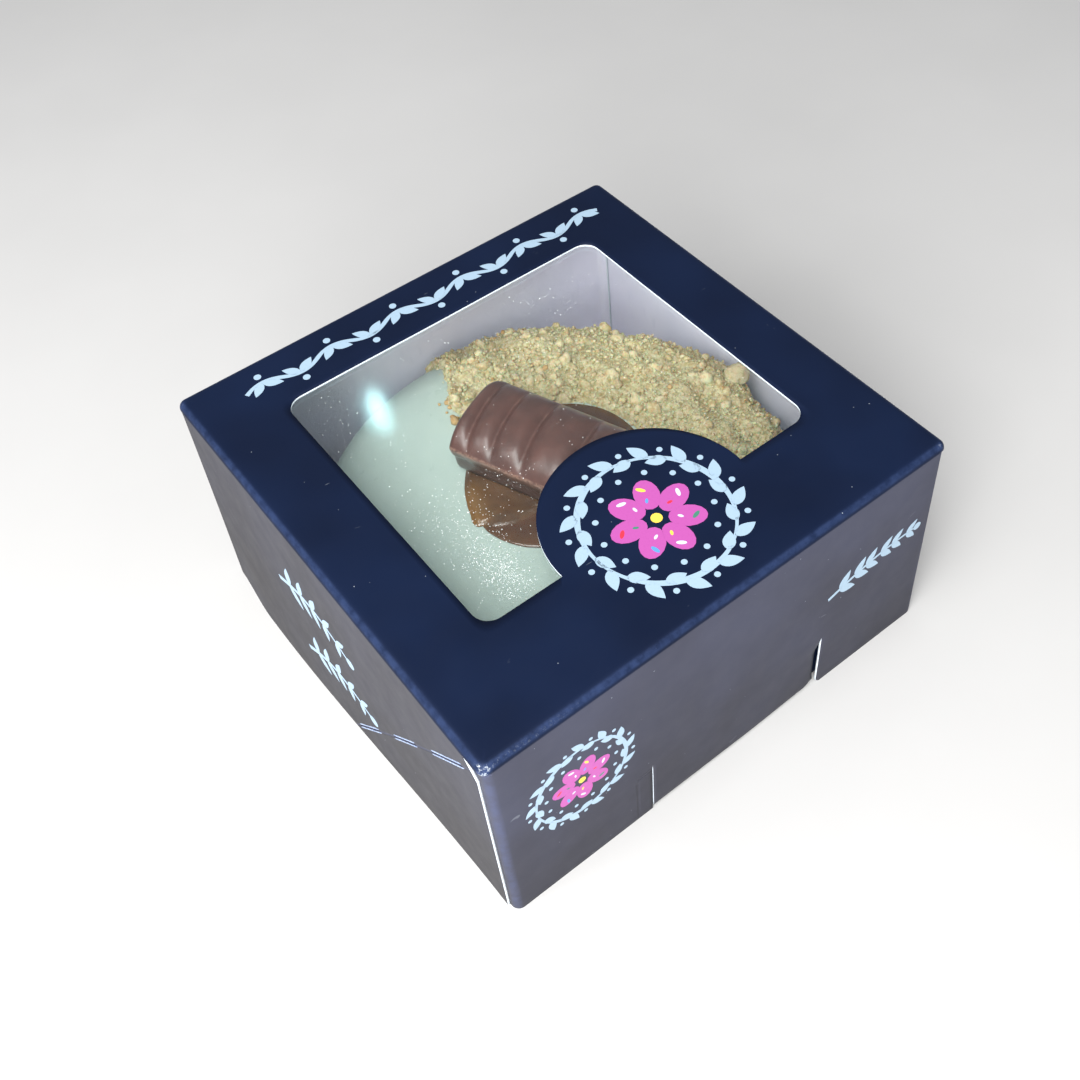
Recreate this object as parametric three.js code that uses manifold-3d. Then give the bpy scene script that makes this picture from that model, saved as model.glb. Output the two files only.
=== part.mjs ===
// A shut windowed carton with one filled doughnut in it.
// Millimetres, +Z up. The origin is on the ground under the middle of the carton.
// The front wall, with the two lock slits, faces -Y.

import * as THREE from 'three';
import { mergeVertices } from 'three/addons/utils/BufferGeometryUtils.js';
import Module from 'manifold-3d';

const wasm = await Module();
wasm.setup();

// ---------------------------------------------------------------- driving dimensions

const BOX_WIDTH = 110;
const BOX_HEIGHT = 55.5;
const CARD = 0.5; // thickness of the board
const FOLD = 1.8; // outer radius of a fold
const GAP = 0.3; // clearance between pieces that touch

const WINDOW_LEFT = -38.4;
const WINDOW_RIGHT = 39.6;
const WINDOW_FRONT = -32.2;
const WINDOW_BACK = 38.9;
const WINDOW_CORNER = 3.7;
const LOBE_X = 0.2; // round lobe of card that reaches into the window
const LOBE_Y = -31.3;
const LOBE_RADIUS = 21.5;

const SLIT_LEFT_X = -20.4; // lock slits in the front wall
const SLIT_RIGHT_X = 24.5;
const SLIT_TOP = 17.6;
const SLIT_WIDTH = 0.3;
const SLIT_SPREAD = 1.2; // the right slit stands open by this much
const SLIT_MOUTH = 2.5; // height of the open slit's narrower mouth
const SLIT_TIP = 4; // height over which the open slit closes at its top
const TONGUE_RISE = 1.2; // the wall between the slits ends this far above the ground

const SIDE_WALL_END = 2.2; // a side wall's raw end stops this far short of the corner
const SIDE_CHAMFER_RUN = 3;
const SIDE_CHAMFER_DROP = 4.2;
const CREASE_CUTS = [[6.4, 19.5], [26, 36.5], [43, 53.5]]; // from the top corner, along the wall
const CREASE_CUT_WIDTH = 0.35;
const FRONT_FLAP_LENGTH = 57.2; // glue flaps inside the side walls
const BACK_FLAP_LENGTH = 14;
const FLAP_TIP_BOTTOM = 4; // a glue flap tapers to this height above the ground at its tip
const FLAP_TIP_TOP = 46.5;
const TUCK_FLAP_WIDTH = 100; // flap of the base, tucked up inside the front wall
const TUCK_FLAP_TOP = 18.6;
const TUCK_FLAP_CORNER = 6;

const FILM = 0.2; // thickness of the window film
const FILM_MARGIN = 5.6; // how far the film reaches past the window under the board

const DOUGHNUT_X = -1.1;
const DOUGHNUT_Y = -0.9;
const WAIST_HEIGHT = 21; // height of the widest level
const TOP_HEIGHT = 40; // top of the icing
const ICING_RADIUS = 52.6;
const ICING_THICKNESS = 1.8;
const ICING_RIM_DROP = 4; // how far the icing runs down below the waist
const SHOULDER_POWER = 3.6; // 2 is an ellipse, more is squarer
const BELLY_POWER = 2.5;
const BELLY_DEPTH = 22.5; // below the waist, cut off flat where the doughnut rests on the base
const DOUGHNUT_WOBBLE = 0.35;
const ICING_STEPS = 12; // facets of the icing's shoulder, from the waist to the axis
const CORE_STEPS = 7; // facets of the shoulder under the icing
const BELLY_STEPS = 9;
const ICING_SEGMENTS = 56; // facets round the doughnut

const CRUMB_THICKNESS = 2.1;
const CRUMB_RELIEF = 1.5;
const CRUMB_GRAIN = 4.2; // size of one bump
const CRUMB_LOW_EDGE = 25; // height where the crumbs end on the side
const CRUMB_FADE = 12; // height over which they thin out above that edge
const CRUMB_ROOT = 1; // how deep the solid reaches into the icing before it is cut back
const CRUMB_EDGE = [ // edge of the crumbed half from above, from the back to the front
  [-1, 70],
  [-0.6, 44],
  [-1.4, 38],
  [-4.4, 34.5],
  [-5.6, 30],
  [-6.6, 24],
  [-4, 10],
  [2, -8],
  [7, -28],
  [12, -44],
  [15, -70],
];

const POOL_X = -0.1; // caramel pool
const POOL_Y = -0.5;
const POOL_RADIUS = 19.8;
const POOL_DEPTH = 1.3;
const POOL_UNDER_BAR = 0.35; // caramel left between the icing and the bar

const BAR_WIDTH = 19.6; // chocolate-coated finger bar
const BAR_LENGTH = 50;
const BAR_SIDE_HEIGHT = 8.2;
const BAR_CROWN = 3.1;
const BAR_UNDERCUT = 0.7; // how far the side steps in below its lip
const BAR_LIP = 0.6; // the lip's lower edge, as a share of the side's height
const BAR_END_ROUNDING = 1.5;
const BAR_END_PINCH = 0.06; // how much narrower and lower the very end is, as a share
const BAR_END_X = -7.3; // middle of the end that shows
const BAR_END_Y = 17.0;
const BAR_HEADING = -68.5; // degrees from +X, from that end to the other
const BAR_LEAN = 4.8; // degrees that it leans over to its left
const BAR_WAVES = [1.6, 5.2, 10.6, 17.2, 24.6, 32.4, 40.2, 47.4]; // middles of the waves on top
const BAR_WAVE_HEIGHT = 0.5;
const BAR_WAVE_SLANT = 0.12; // the waves run this much askew

// ---------------------------------------------------------------- values worked out

const HALF = BOX_WIDTH / 2;
const FLAT = HALF - FOLD; // where a panel's flat part ends
const DEG = Math.PI / 180;
const X_AXIS = new THREE.Vector3(1, 0, 0);
const Y_AXIS = new THREE.Vector3(0, 1, 0);
const Z_AXIS = new THREE.Vector3(0, 0, 1);

// ---------------------------------------------------------------- solids and booleans

function toSolid(geometry) {
  const bare = geometry.clone();
  bare.deleteAttribute('normal');
  bare.deleteAttribute('uv');
  const merged = mergeVertices(bare, 1e-4);
  return new wasm.Manifold(new wasm.Mesh({
    numProp: 3,
    vertProperties: new Float32Array(merged.attributes.position.array),
    triVerts: new Uint32Array(merged.index.array),
  }));
}

function toGeometry(solid) {
  const mesh = solid.getMesh();
  const geometry = new THREE.BufferGeometry();
  geometry.setAttribute('position', new THREE.Float32BufferAttribute(mesh.vertProperties, 3));
  geometry.setIndex(Array.from(mesh.triVerts));
  geometry.computeVertexNormals();
  return geometry;
}

function joined(solids) {
  return solids.reduce((sum, piece) => sum.add(piece));
}

// Moves every vertex of a geometry to move(point), a function that changes the vector given to it.
function warped(geometry, move) {
  const position = geometry.attributes.position;
  const point = new THREE.Vector3();
  for (let i = 0; i < position.count; i += 1) {
    point.fromBufferAttribute(position, i);
    move(point);
    position.setXYZ(i, point.x, point.y, point.z);
  }
  return geometry;
}

// ---------------------------------------------------------------- carton

function polygon(points) {
  return new THREE.Shape(points.map(([x, y]) => new THREE.Vector2(x, y)));
}

// A flat panel of board: shape drawn on the across and up axes, thickness along their cross product.
function panel(shape, across, up, origin) {
  const sheet = new THREE.ExtrudeGeometry(shape, { depth: CARD, bevelEnabled: false, curveSegments: 10 });
  const through = new THREE.Vector3().crossVectors(across, up);
  const place = new THREE.Matrix4().makeBasis(across, up, through).setPosition(...origin);
  return sheet.applyMatrix4(place);
}

// A quarter-round fold between two panels whose outer faces look along sideA and sideB.
function fold(sideA, sideB, centre, length) {
  const section = new THREE.Shape();
  section.absarc(0, 0, FOLD, 0, Math.PI / 2, false);
  section.absarc(0, 0, FOLD - CARD, Math.PI / 2, 0, true);
  const strip = new THREE.ExtrudeGeometry(section, { depth: length, bevelEnabled: false, curveSegments: 5 });
  const along = new THREE.Vector3().crossVectors(sideA, sideB);
  const start = new THREE.Vector3(...centre).addScaledVector(along, -length / 2);
  const place = new THREE.Matrix4().makeBasis(sideA, sideB, along).setPosition(start);
  return toSolid(strip.applyMatrix4(place));
}

function windowPath() {
  const rise = WINDOW_FRONT - LOBE_Y;
  const lobeHalf = Math.sqrt(LOBE_RADIUS ** 2 - rise ** 2);
  const start = Math.atan2(rise, -lobeHalf) + 2 * Math.PI;
  const end = Math.atan2(rise, lobeHalf);
  const inLeft = WINDOW_LEFT + WINDOW_CORNER;
  const inRight = WINDOW_RIGHT - WINDOW_CORNER;
  const inFront = WINDOW_FRONT + WINDOW_CORNER;
  const inBack = WINDOW_BACK - WINDOW_CORNER;
  const path = new THREE.Path();
  path.moveTo(inLeft, WINDOW_FRONT);
  path.lineTo(LOBE_X - lobeHalf, WINDOW_FRONT);
  for (let i = 1; i < 32; i += 1) {
    const angle = start + (end - start) * (i / 32);
    path.lineTo(LOBE_X + LOBE_RADIUS * Math.cos(angle), LOBE_Y + LOBE_RADIUS * Math.sin(angle));
  }
  path.lineTo(LOBE_X + lobeHalf, WINDOW_FRONT);
  path.lineTo(inRight, WINDOW_FRONT);
  path.absarc(inRight, inFront, WINDOW_CORNER, -Math.PI / 2, 0, false);
  path.absarc(inRight, inBack, WINDOW_CORNER, 0, Math.PI / 2, false);
  path.absarc(inLeft, inBack, WINDOW_CORNER, Math.PI / 2, Math.PI, false);
  path.absarc(inLeft, inFront, WINDOW_CORNER, Math.PI, 1.5 * Math.PI, false);
  return path;
}

function topPanel() {
  const shape = polygon([[-FLAT, -FLAT], [FLAT, -FLAT], [FLAT, FLAT], [-FLAT, FLAT]]);
  shape.holes.push(windowPath());
  return toSolid(panel(shape, X_AXIS, Y_AXIS, [0, 0, BOX_HEIGHT - CARD]));
}

// The front wall: its lower edge is cut by two slits, and the tongue between them is a little shorter.
function frontWall() {
  const end = FLAT - CARD;
  const shape = polygon([
    [-end, 0],
    [SLIT_LEFT_X - SLIT_WIDTH, 0],
    [SLIT_LEFT_X - SLIT_WIDTH / 2, SLIT_TOP],
    [SLIT_LEFT_X + SLIT_WIDTH / 2, SLIT_TOP],
    [SLIT_LEFT_X, TONGUE_RISE],
    [SLIT_RIGHT_X - SLIT_WIDTH, TONGUE_RISE],
    [SLIT_RIGHT_X - SLIT_SPREAD, TONGUE_RISE + SLIT_MOUTH],
    [SLIT_RIGHT_X - SLIT_SPREAD, SLIT_TOP - SLIT_TIP],
    [SLIT_RIGHT_X - SLIT_WIDTH, SLIT_TOP],
    [SLIT_RIGHT_X, SLIT_TOP],
    [SLIT_RIGHT_X, TONGUE_RISE],
    [SLIT_RIGHT_X + TONGUE_RISE, 0],
    [end, 0],
    [end, BOX_HEIGHT - FOLD],
    [-end, BOX_HEIGHT - FOLD],
  ]);
  return toSolid(panel(shape, X_AXIS, Z_AXIS, [0, -HALF + CARD, 0]));
}

function backWall() {
  const end = FLAT - CARD;
  const shape = polygon([[-end, FOLD], [end, FOLD], [end, BOX_HEIGHT - FOLD], [-end, BOX_HEIGHT - FOLD]]);
  return toSolid(panel(shape, X_AXIS, Z_AXIS, [0, HALF, 0]));
}

// One long cut of the folding crease, which runs down from the top front corner at 45 degrees.
function creaseCut([from, to]) {
  const half = CREASE_CUT_WIDTH / 2 / Math.SQRT2;
  const cut = new THREE.Path();
  cut.moveTo(-HALF + from - half, BOX_HEIGHT - from - half);
  cut.lineTo(-HALF + to - half, BOX_HEIGHT - to - half);
  cut.lineTo(-HALF + to + half, BOX_HEIGHT - to + half);
  cut.lineTo(-HALF + from + half, BOX_HEIGHT - from + half);
  return cut;
}

function sideWallSheet() {
  const end = HALF - SIDE_WALL_END;
  const top = BOX_HEIGHT - FOLD;
  const shape = polygon([
    [-end, 0],
    [end, 0],
    [end, top],
    [-end + SIDE_CHAMFER_RUN, top],
    [-end, top - SIDE_CHAMFER_DROP],
  ]);
  shape.holes.push(...CREASE_CUTS.map(creaseCut));
  return panel(shape, Y_AXIS, Z_AXIS, [-HALF, 0, 0]);
}

// A glue flap inside the left wall. side is -1 for the flap of the front wall and 1 for the back wall's.
function glueFlapSheet(side, length) {
  const root = side * (HALF - FOLD);
  const tip = root - side * length;
  const points = [[root, CARD + GAP], [tip, FLAP_TIP_BOTTOM], [tip, FLAP_TIP_TOP], [root, BOX_HEIGHT - FOLD]];
  const shape = polygon(side < 0 ? points : points.reverse());
  return panel(shape, Y_AXIS, Z_AXIS, [-HALF + CARD, 0, 0]);
}

// The fold that turns the front or back wall into its glue flap, behind the left wall's raw end.
function cornerFold(side) {
  const height = BOX_HEIGHT - FOLD;
  const centre = [-HALF + CARD + FOLD, side * (HALF - FOLD), height / 2];
  const outward = Y_AXIS.clone().multiplyScalar(side);
  const left = X_AXIS.clone().negate();
  return side < 0 ? fold(left, outward, centre, height) : fold(outward, left, centre, height);
}

// The rounded top corner where three folds meet.
function topCorner(sideX, sideY) {
  const ball = new THREE.SphereGeometry(FOLD, 20, 10);
  const hollow = new THREE.SphereGeometry(FOLD - CARD, 20, 10);
  const octant = new THREE.BoxGeometry(FOLD * 2, FOLD * 2, FOLD * 2);
  octant.translate(sideX * FOLD, sideY * FOLD, FOLD);
  const shell = toSolid(ball).subtract(toSolid(hollow)).intersect(toSolid(octant));
  return shell.translate([sideX * FLAT, sideY * FLAT, BOX_HEIGHT - FOLD]);
}

// The base: hinged on the back wall, with a flap that tucks up inside the front wall.
function base() {
  const sideEnd = HALF - 2 * CARD - GAP;
  const front = -HALF + CARD + GAP;
  const floor = polygon([
    [-sideEnd, front + FOLD],
    [sideEnd, front + FOLD],
    [sideEnd, FLAT],
    [-sideEnd, FLAT],
  ]);
  const half = TUCK_FLAP_WIDTH / 2;
  const flap = polygon([
    [-half, FOLD],
    [half, FOLD],
    [half, TUCK_FLAP_TOP - TUCK_FLAP_CORNER],
    [half - TUCK_FLAP_CORNER, TUCK_FLAP_TOP],
    [-half + TUCK_FLAP_CORNER, TUCK_FLAP_TOP],
    [-half, TUCK_FLAP_TOP - TUCK_FLAP_CORNER],
  ]);
  const down = Z_AXIS.clone().negate();
  const frontward = Y_AXIS.clone().negate();
  return joined([
    toSolid(panel(floor, X_AXIS, Y_AXIS, [0, 0, 0])),
    toSolid(panel(flap, X_AXIS, Z_AXIS, [0, front + CARD, 0])),
    fold(down, frontward, [0, front + FOLD, FOLD], TUCK_FLAP_WIDTH),
    fold(Y_AXIS, down, [0, FLAT, FOLD], 2 * sideEnd),
  ]);
}

function sideFold(side) {
  const outward = X_AXIS.clone().multiplyScalar(side);
  const centre = [side * FLAT, 0, BOX_HEIGHT - FOLD];
  return side < 0 ? fold(Z_AXIS, outward, centre, 2 * FLAT) : fold(outward, Z_AXIS, centre, 2 * FLAT);
}

function carton() {
  const up = BOX_HEIGHT - FOLD;
  const frontward = Y_AXIS.clone().negate();
  const leftSide = joined([
    toSolid(sideWallSheet()),
    toSolid(glueFlapSheet(-1, FRONT_FLAP_LENGTH)),
    toSolid(glueFlapSheet(1, BACK_FLAP_LENGTH)),
    cornerFold(-1),
    cornerFold(1),
  ]);
  return joined([
    topPanel(),
    frontWall(),
    backWall(),
    leftSide,
    leftSide.mirror([1, 0, 0]),
    fold(frontward, Z_AXIS, [0, -FLAT, up], 2 * FLAT),
    fold(Z_AXIS, Y_AXIS, [0, FLAT, up], 2 * FLAT),
    sideFold(-1),
    sideFold(1),
    topCorner(-1, -1),
    topCorner(1, -1),
    topCorner(1, 1),
    topCorner(-1, 1),
    base(),
  ]);
}

function windowFilm() {
  const left = WINDOW_LEFT - FILM_MARGIN;
  const right = WINDOW_RIGHT + FILM_MARGIN;
  const front = WINDOW_FRONT - FILM_MARGIN;
  const back = WINDOW_BACK + FILM_MARGIN;
  const shape = polygon([[left, front], [right, front], [right, back], [left, back]]);
  const sheet = new THREE.ExtrudeGeometry(shape, { depth: FILM, bevelEnabled: false });
  return sheet.translate(0, 0, BOX_HEIGHT - CARD - GAP - FILM);
}

// ---------------------------------------------------------------- doughnut and icing

// Smooth uneven value between -1 and 1 for a place in space, by blending fixed values on a grid.
function latticeValue(i, j, k) {
  const mixed = Math.sin(i * 127.1 + j * 311.7 + k * 74.7) * 43758.5453;
  return 2 * (mixed - Math.floor(mixed)) - 1;
}

function unevenness(x, y, z) {
  const [i, j, k] = [x, y, z].map(Math.floor);
  const ease = (t) => t * t * (3 - 2 * t);
  const [u, v, w] = [ease(x - i), ease(y - j), ease(z - k)];
  let sum = 0;
  for (const [di, wi] of [[0, 1 - u], [1, u]]) {
    for (const [dj, wj] of [[0, 1 - v], [1, v]]) {
      for (const [dk, wk] of [[0, 1 - w], [1, w]]) {
        sum += wi * wj * wk * latticeValue(i + di, j + dj, k + dk);
      }
    }
  }
  return sum;
}

function doughnutWobble(angle) {
  const oval = Math.sin(2 * angle + 0.6);
  const threefold = Math.sin(3 * angle + 2.1);
  const fivefold = Math.sin(5 * angle);
  return DOUGHNUT_WOBBLE * (oval + 0.6 * threefold + 0.4 * fivefold);
}

// A point on the upper half of the doughnut, grown outwards from the icing's face by a distance.
// turn is 0 at the waist and 90 degrees on the axis.
function shoulderPoint(turn, grown) {
  const radius = (ICING_RADIUS + grown) * Math.cos(turn) ** (2 / SHOULDER_POWER);
  const rise = (TOP_HEIGHT - WAIST_HEIGHT + grown) * Math.sin(turn) ** (2 / SHOULDER_POWER);
  return new THREE.Vector2(Math.max(radius, 0), WAIST_HEIGHT + rise);
}

function icingTopAt(x, y) {
  const share = Math.hypot(x - DOUGHNUT_X, y - DOUGHNUT_Y) / ICING_RADIUS;
  const rise = (1 - share ** SHOULDER_POWER) ** (1 / SHOULDER_POWER);
  return WAIST_HEIGHT + (TOP_HEIGHT - WAIST_HEIGHT) * rise;
}

function shoulder(steps, grown, lowest) {
  const points = [];
  for (let i = 0; i <= steps; i += 1) {
    points.push(shoulderPoint(lowest + (Math.PI / 2 - lowest) * (i / steps), grown));
  }
  points[steps].x = 0;
  return points;
}

// Turns a profile of (radius, height) points about the doughnut's axis and adds its uneven outline.
function revolved(profile, segments) {
  const lathe = new THREE.LatheGeometry(profile, segments).rotateX(Math.PI / 2);
  return warped(lathe, (point) => {
    const radius = Math.hypot(point.x, point.y);
    if (radius > 1e-6) {
      const grown = 1 + (doughnutWobble(Math.atan2(point.y, point.x)) / ICING_RADIUS);
      point.x *= grown;
      point.y *= grown;
    }
    point.x += DOUGHNUT_X;
    point.y += DOUGHNUT_Y;
  });
}

function doughnut() {
  const inset = -ICING_THICKNESS - GAP;
  const foot = CARD + GAP;
  const profile = [new THREE.Vector2(0, foot)];
  for (let i = BELLY_STEPS - 1; i >= 1; i -= 1) {
    const turn = (i / BELLY_STEPS) * (Math.PI / 2);
    const radius = (ICING_RADIUS + inset) * Math.cos(turn) ** (2 / BELLY_POWER);
    const height = WAIST_HEIGHT - BELLY_DEPTH * Math.sin(turn) ** (2 / BELLY_POWER);
    if (height > foot) {
      profile.push(new THREE.Vector2(radius, height));
    } else {
      profile[1] = new THREE.Vector2(radius, foot);
    }
  }
  profile.push(...shoulder(CORE_STEPS, inset, 0));
  return revolved(profile, ICING_SEGMENTS);
}

function icing() {
  const rimInner = new THREE.Vector2(ICING_RADIUS - ICING_THICKNESS - 0.1, WAIST_HEIGHT - ICING_RIM_DROP);
  const rimOuter = new THREE.Vector2(ICING_RADIUS - 0.5, WAIST_HEIGHT - ICING_RIM_DROP - 0.4);
  const outside = shoulder(ICING_STEPS, 0, 0);
  const inside = shoulder(CORE_STEPS, -ICING_THICKNESS, 0).reverse();
  return revolved([...inside, rimInner, rimOuter, ...outside], ICING_SEGMENTS);
}

// The whole body inside the icing's face, grown outwards: what a topping must stay clear of.
function icedBody(grown) {
  const floor = new THREE.Vector2(0, WAIST_HEIGHT);
  return toSolid(revolved([floor, ...shoulder(ICING_STEPS, grown, 0)], ICING_SEGMENTS));
}

// ---------------------------------------------------------------- toppings

function barPlace() {
  const along = new THREE.Vector3(Math.cos(BAR_HEADING * DEG), Math.sin(BAR_HEADING * DEG), 0);
  const across = new THREE.Vector3().crossVectors(along, Z_AXIS);
  const turn = new THREE.Matrix4().makeBasis(across, along, Z_AXIS);
  const lean = new THREE.Matrix4().makeRotationY(BAR_LEAN * DEG);
  const lift = (BAR_WIDTH / 2) * Math.sin(BAR_LEAN * DEG);
  const base = TOP_HEIGHT + POOL_UNDER_BAR + 2 * GAP + lift;
  return new THREE.Matrix4().makeTranslation(BAR_END_X, BAR_END_Y, base).multiply(turn).multiply(lean);
}

// Height of the waves on the bar's crown, at a distance from its end: rounded swells with sharp dips.
function waveHeight(along) {
  let nearest = Infinity;
  let spacing = 1;
  BAR_WAVES.forEach((middle, i) => {
    const away = Math.abs(along - middle);
    if (away < nearest) {
      nearest = away;
      const next = BAR_WAVES[i + 1] ?? middle + 7;
      spacing = next - middle;
    }
  });
  return BAR_WAVE_HEIGHT * Math.cos(Math.min(nearest / spacing, 0.5) * Math.PI);
}

// The finger bar, or with grown above zero a larger copy that clears it all round.
function bar(grown) {
  const block = new THREE.BoxGeometry(2, 1, 1, 7, 36, 3).translate(0, 0.5, 0.5);
  const length = BAR_LENGTH + 2 * grown;
  warped(block, (point) => {
    const [side, reach, level] = [point.x, point.y, point.z];
    const along = reach * length - grown;
    const endDistance = Math.min(along + grown, length - grown - along);
    const rounding = Math.min(endDistance / BAR_END_ROUNDING, 1);
    const pinch = 1 - BAR_END_PINCH * (1 - rounding) ** 2;
    const inset = level < BAR_LIP ? BAR_UNDERCUT : 0;
    const half = BAR_WIDTH / 2 + grown - inset;
    const wave = waveHeight(along + BAR_WAVE_SLANT * side * half);
    const crown = (BAR_CROWN + wave) * (1 - side ** 6 * 0.7 - side ** 2 * 0.3);
    const top = BAR_SIDE_HEIGHT + grown + crown * pinch;
    point.set(side * half * pinch, along, -grown + level * (top + grown));
  });
  return block.applyMatrix4(barPlace());
}

// A flat-lying blob: a round outline whose upper and lower faces follow the two height functions.
function blob(x0, y0, outline, lower, upper) {
  const ball = new THREE.SphereGeometry(1, 40, 10).rotateX(Math.PI / 2);
  return warped(ball, (point) => {
    const angle = Math.atan2(point.y, point.x);
    const share = Math.hypot(point.x, point.y);
    const x = x0 + share * outline(angle) * Math.cos(angle);
    const y = y0 + share * outline(angle) * Math.sin(angle);
    const bulge = Math.abs(point.z);
    point.set(x, y, point.z > 0 ? upper(x, y, bulge) : lower(x, y, bulge));
  });
}

function poolOutline(grown) {
  return (angle) => {
    const oval = 0.015 * Math.sin(2 * angle + 1.4);
    const threefold = 0.012 * Math.sin(3 * angle + 0.4);
    const ripple = 0.008 * Math.sin(7 * angle);
    return POOL_RADIUS * (1 + oval + threefold + ripple) + grown;
  };
}

function caramelPool() {
  const bed = (x, y) => icingTopAt(x, y) + GAP;
  const lower = (x, y, bulge) => bed(x, y) - Math.min(bulge, 0.3);
  const upper = (x, y, bulge) => bed(x, y) + POOL_DEPTH * bulge ** 0.8;
  const pool = toSolid(blob(POOL_X, POOL_Y, poolOutline(0), lower, upper));
  return pool.subtract(icedBody(GAP)).subtract(toSolid(bar(GAP)));
}

// Everything on the crumbed side of the edge, as an upright block.
function crumbCurtain() {
  const reach = 80;
  const shape = new THREE.Shape();
  const edge = new THREE.SplineCurve(CRUMB_EDGE.map(([x, y]) => new THREE.Vector2(x, y)));
  shape.setFromPoints([...edge.getPoints(40), new THREE.Vector2(reach, -70), new THREE.Vector2(reach, 70)]);
  return toSolid(new THREE.ExtrudeGeometry(shape, { depth: 60, bevelEnabled: false }));
}

// The hole in the crumbs round the caramel pool and the bar.
function crumbClearance() {
  const depth = 12;
  const pool = blob(POOL_X, POOL_Y, poolOutline(GAP + 0.2),
    (x, y, bulge) => TOP_HEIGHT - depth * Math.min(bulge * 6, 1),
    (x, y, bulge) => TOP_HEIGHT + depth * Math.min(bulge * 6, 1));
  return toSolid(pool).add(toSolid(bar(GAP)));
}

// One loose lump of crumb, caught between the doughnut's side and the right wall.
function crumbLump() {
  const lump = new THREE.IcosahedronGeometry(3.1, 2);
  warped(lump, (point) => point.multiplyScalar(1 + 0.12 * unevenness(point.x, point.y, point.z)));
  return toSolid(lump.scale(0.85, 1.1, 1).translate(50.2, 3.2, 33));
}

// A point's place relative to the middle of the waist, in shares of the icing's radius and rise.
function fromIcingCentre(point) {
  return new THREE.Vector3(
    (point.x - DOUGHNUT_X) / ICING_RADIUS,
    (point.y - DOUGHNUT_Y) / ICING_RADIUS,
    Math.max(point.z - WAIST_HEIGHT, 0) / (TOP_HEIGHT - WAIST_HEIGHT),
  );
}

// 1 on the icing's face, more outside it.
function roundness(share) {
  return (Math.hypot(share.x, share.y) ** SHOULDER_POWER + share.z ** SHOULDER_POWER) ** (1 / SHOULDER_POWER);
}

function crumbTopping() {
  const lowShare = (CRUMB_LOW_EDGE - WAIST_HEIGHT) / (TOP_HEIGHT - WAIST_HEIGHT);
  const lowest = Math.asin(lowShare ** (SHOULDER_POWER / 2));
  const outside = shoulder(20, GAP + CRUMB_ROOT, lowest);
  const inside = shoulder(6, -CRUMB_ROOT, lowest).reverse();
  const shell = revolved([...inside, ...outside], 100);
  warped(shell, (point) => {
    const out = fromIcingCentre(point);
    if (roundness(out) > 1) {
      const bump = unevenness(point.x / CRUMB_GRAIN, point.y / CRUMB_GRAIN, point.z / CRUMB_GRAIN);
      const fade = Math.min(Math.max((point.z - CRUMB_LOW_EDGE) / CRUMB_FADE, 0), 1);
      const thickness = (CRUMB_THICKNESS - CRUMB_ROOT + CRUMB_RELIEF * bump) * fade;
      point.addScaledVector(out.normalize(), Math.max(thickness, 0));
    }
  });
  const heap = toSolid(shell).intersect(crumbCurtain()).add(crumbLump());
  return heap.subtract(icedBody(GAP)).subtract(crumbClearance());
}

// ---------------------------------------------------------------- scene graph

const finishes = {
  board: new THREE.MeshStandardMaterial({ color: 0x1f2a45, roughness: 0.6, metalness: 0 }),
  film: new THREE.MeshStandardMaterial({
    color: 0xf2f6f8,
    roughness: 0.05,
    metalness: 0,
    transparent: true,
    opacity: 0.2,
  }),
  dough: new THREE.MeshStandardMaterial({ color: 0xb8763a, roughness: 0.8, metalness: 0 }),
  icing: new THREE.MeshStandardMaterial({ color: 0xdfe6d8, roughness: 0.35, metalness: 0 }),
  crumb: new THREE.MeshStandardMaterial({ color: 0xe0cf94, roughness: 0.95, metalness: 0 }),
  caramel: new THREE.MeshStandardMaterial({ color: 0x8a5a2a, roughness: 0.15, metalness: 0 }),
  chocolate: new THREE.MeshStandardMaterial({ color: 0x5c3a2c, roughness: 0.4, metalness: 0 }),
};

function piece(name, geometry, material) {
  const mesh = new THREE.Mesh(geometry, material);
  mesh.name = name;
  return mesh;
}

const boxOfDoughnut = new THREE.Group();
boxOfDoughnut.name = 'box_of_doughnut';
boxOfDoughnut.add(
  piece('carton', toGeometry(carton()), finishes.board),
  piece('window_film', windowFilm(), finishes.film),
  piece('doughnut', doughnut(), finishes.dough),
  piece('icing', icing(), finishes.icing),
  piece('crumb_topping', toGeometry(crumbTopping()), finishes.crumb),
  piece('caramel_pool', toGeometry(caramelPool()), finishes.caramel),
  piece('chocolate_bar', bar(0), finishes.chocolate),
);

export default boxOfDoughnut;
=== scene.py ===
# %% [markdown]
# # A filled doughnut in a windowed carton
#
# A baker folds a printed card blank into a box, sets one doughnut in it and closes the lid over it. The
# lid has a window of clear film. This notebook dresses the solid model of that box: every cell makes one
# piece or one finish, and says why it is made that way. The solid model stays as the frame, so that each
# piece has a place to fit.

# %% Load the solid model
import itertools
import math

import bmesh
import bpy
import numpy as np
from mathutils import Matrix, Vector


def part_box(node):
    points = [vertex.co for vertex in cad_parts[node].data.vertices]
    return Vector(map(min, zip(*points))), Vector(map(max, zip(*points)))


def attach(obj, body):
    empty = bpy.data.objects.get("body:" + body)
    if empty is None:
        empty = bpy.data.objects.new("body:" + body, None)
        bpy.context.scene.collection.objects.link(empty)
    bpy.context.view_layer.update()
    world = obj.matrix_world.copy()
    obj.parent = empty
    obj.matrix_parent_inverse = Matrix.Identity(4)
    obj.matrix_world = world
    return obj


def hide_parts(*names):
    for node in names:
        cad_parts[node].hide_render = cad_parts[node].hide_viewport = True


MM = 0.001  # Blender works in metres, and everything below is thought out in millimetres

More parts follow.
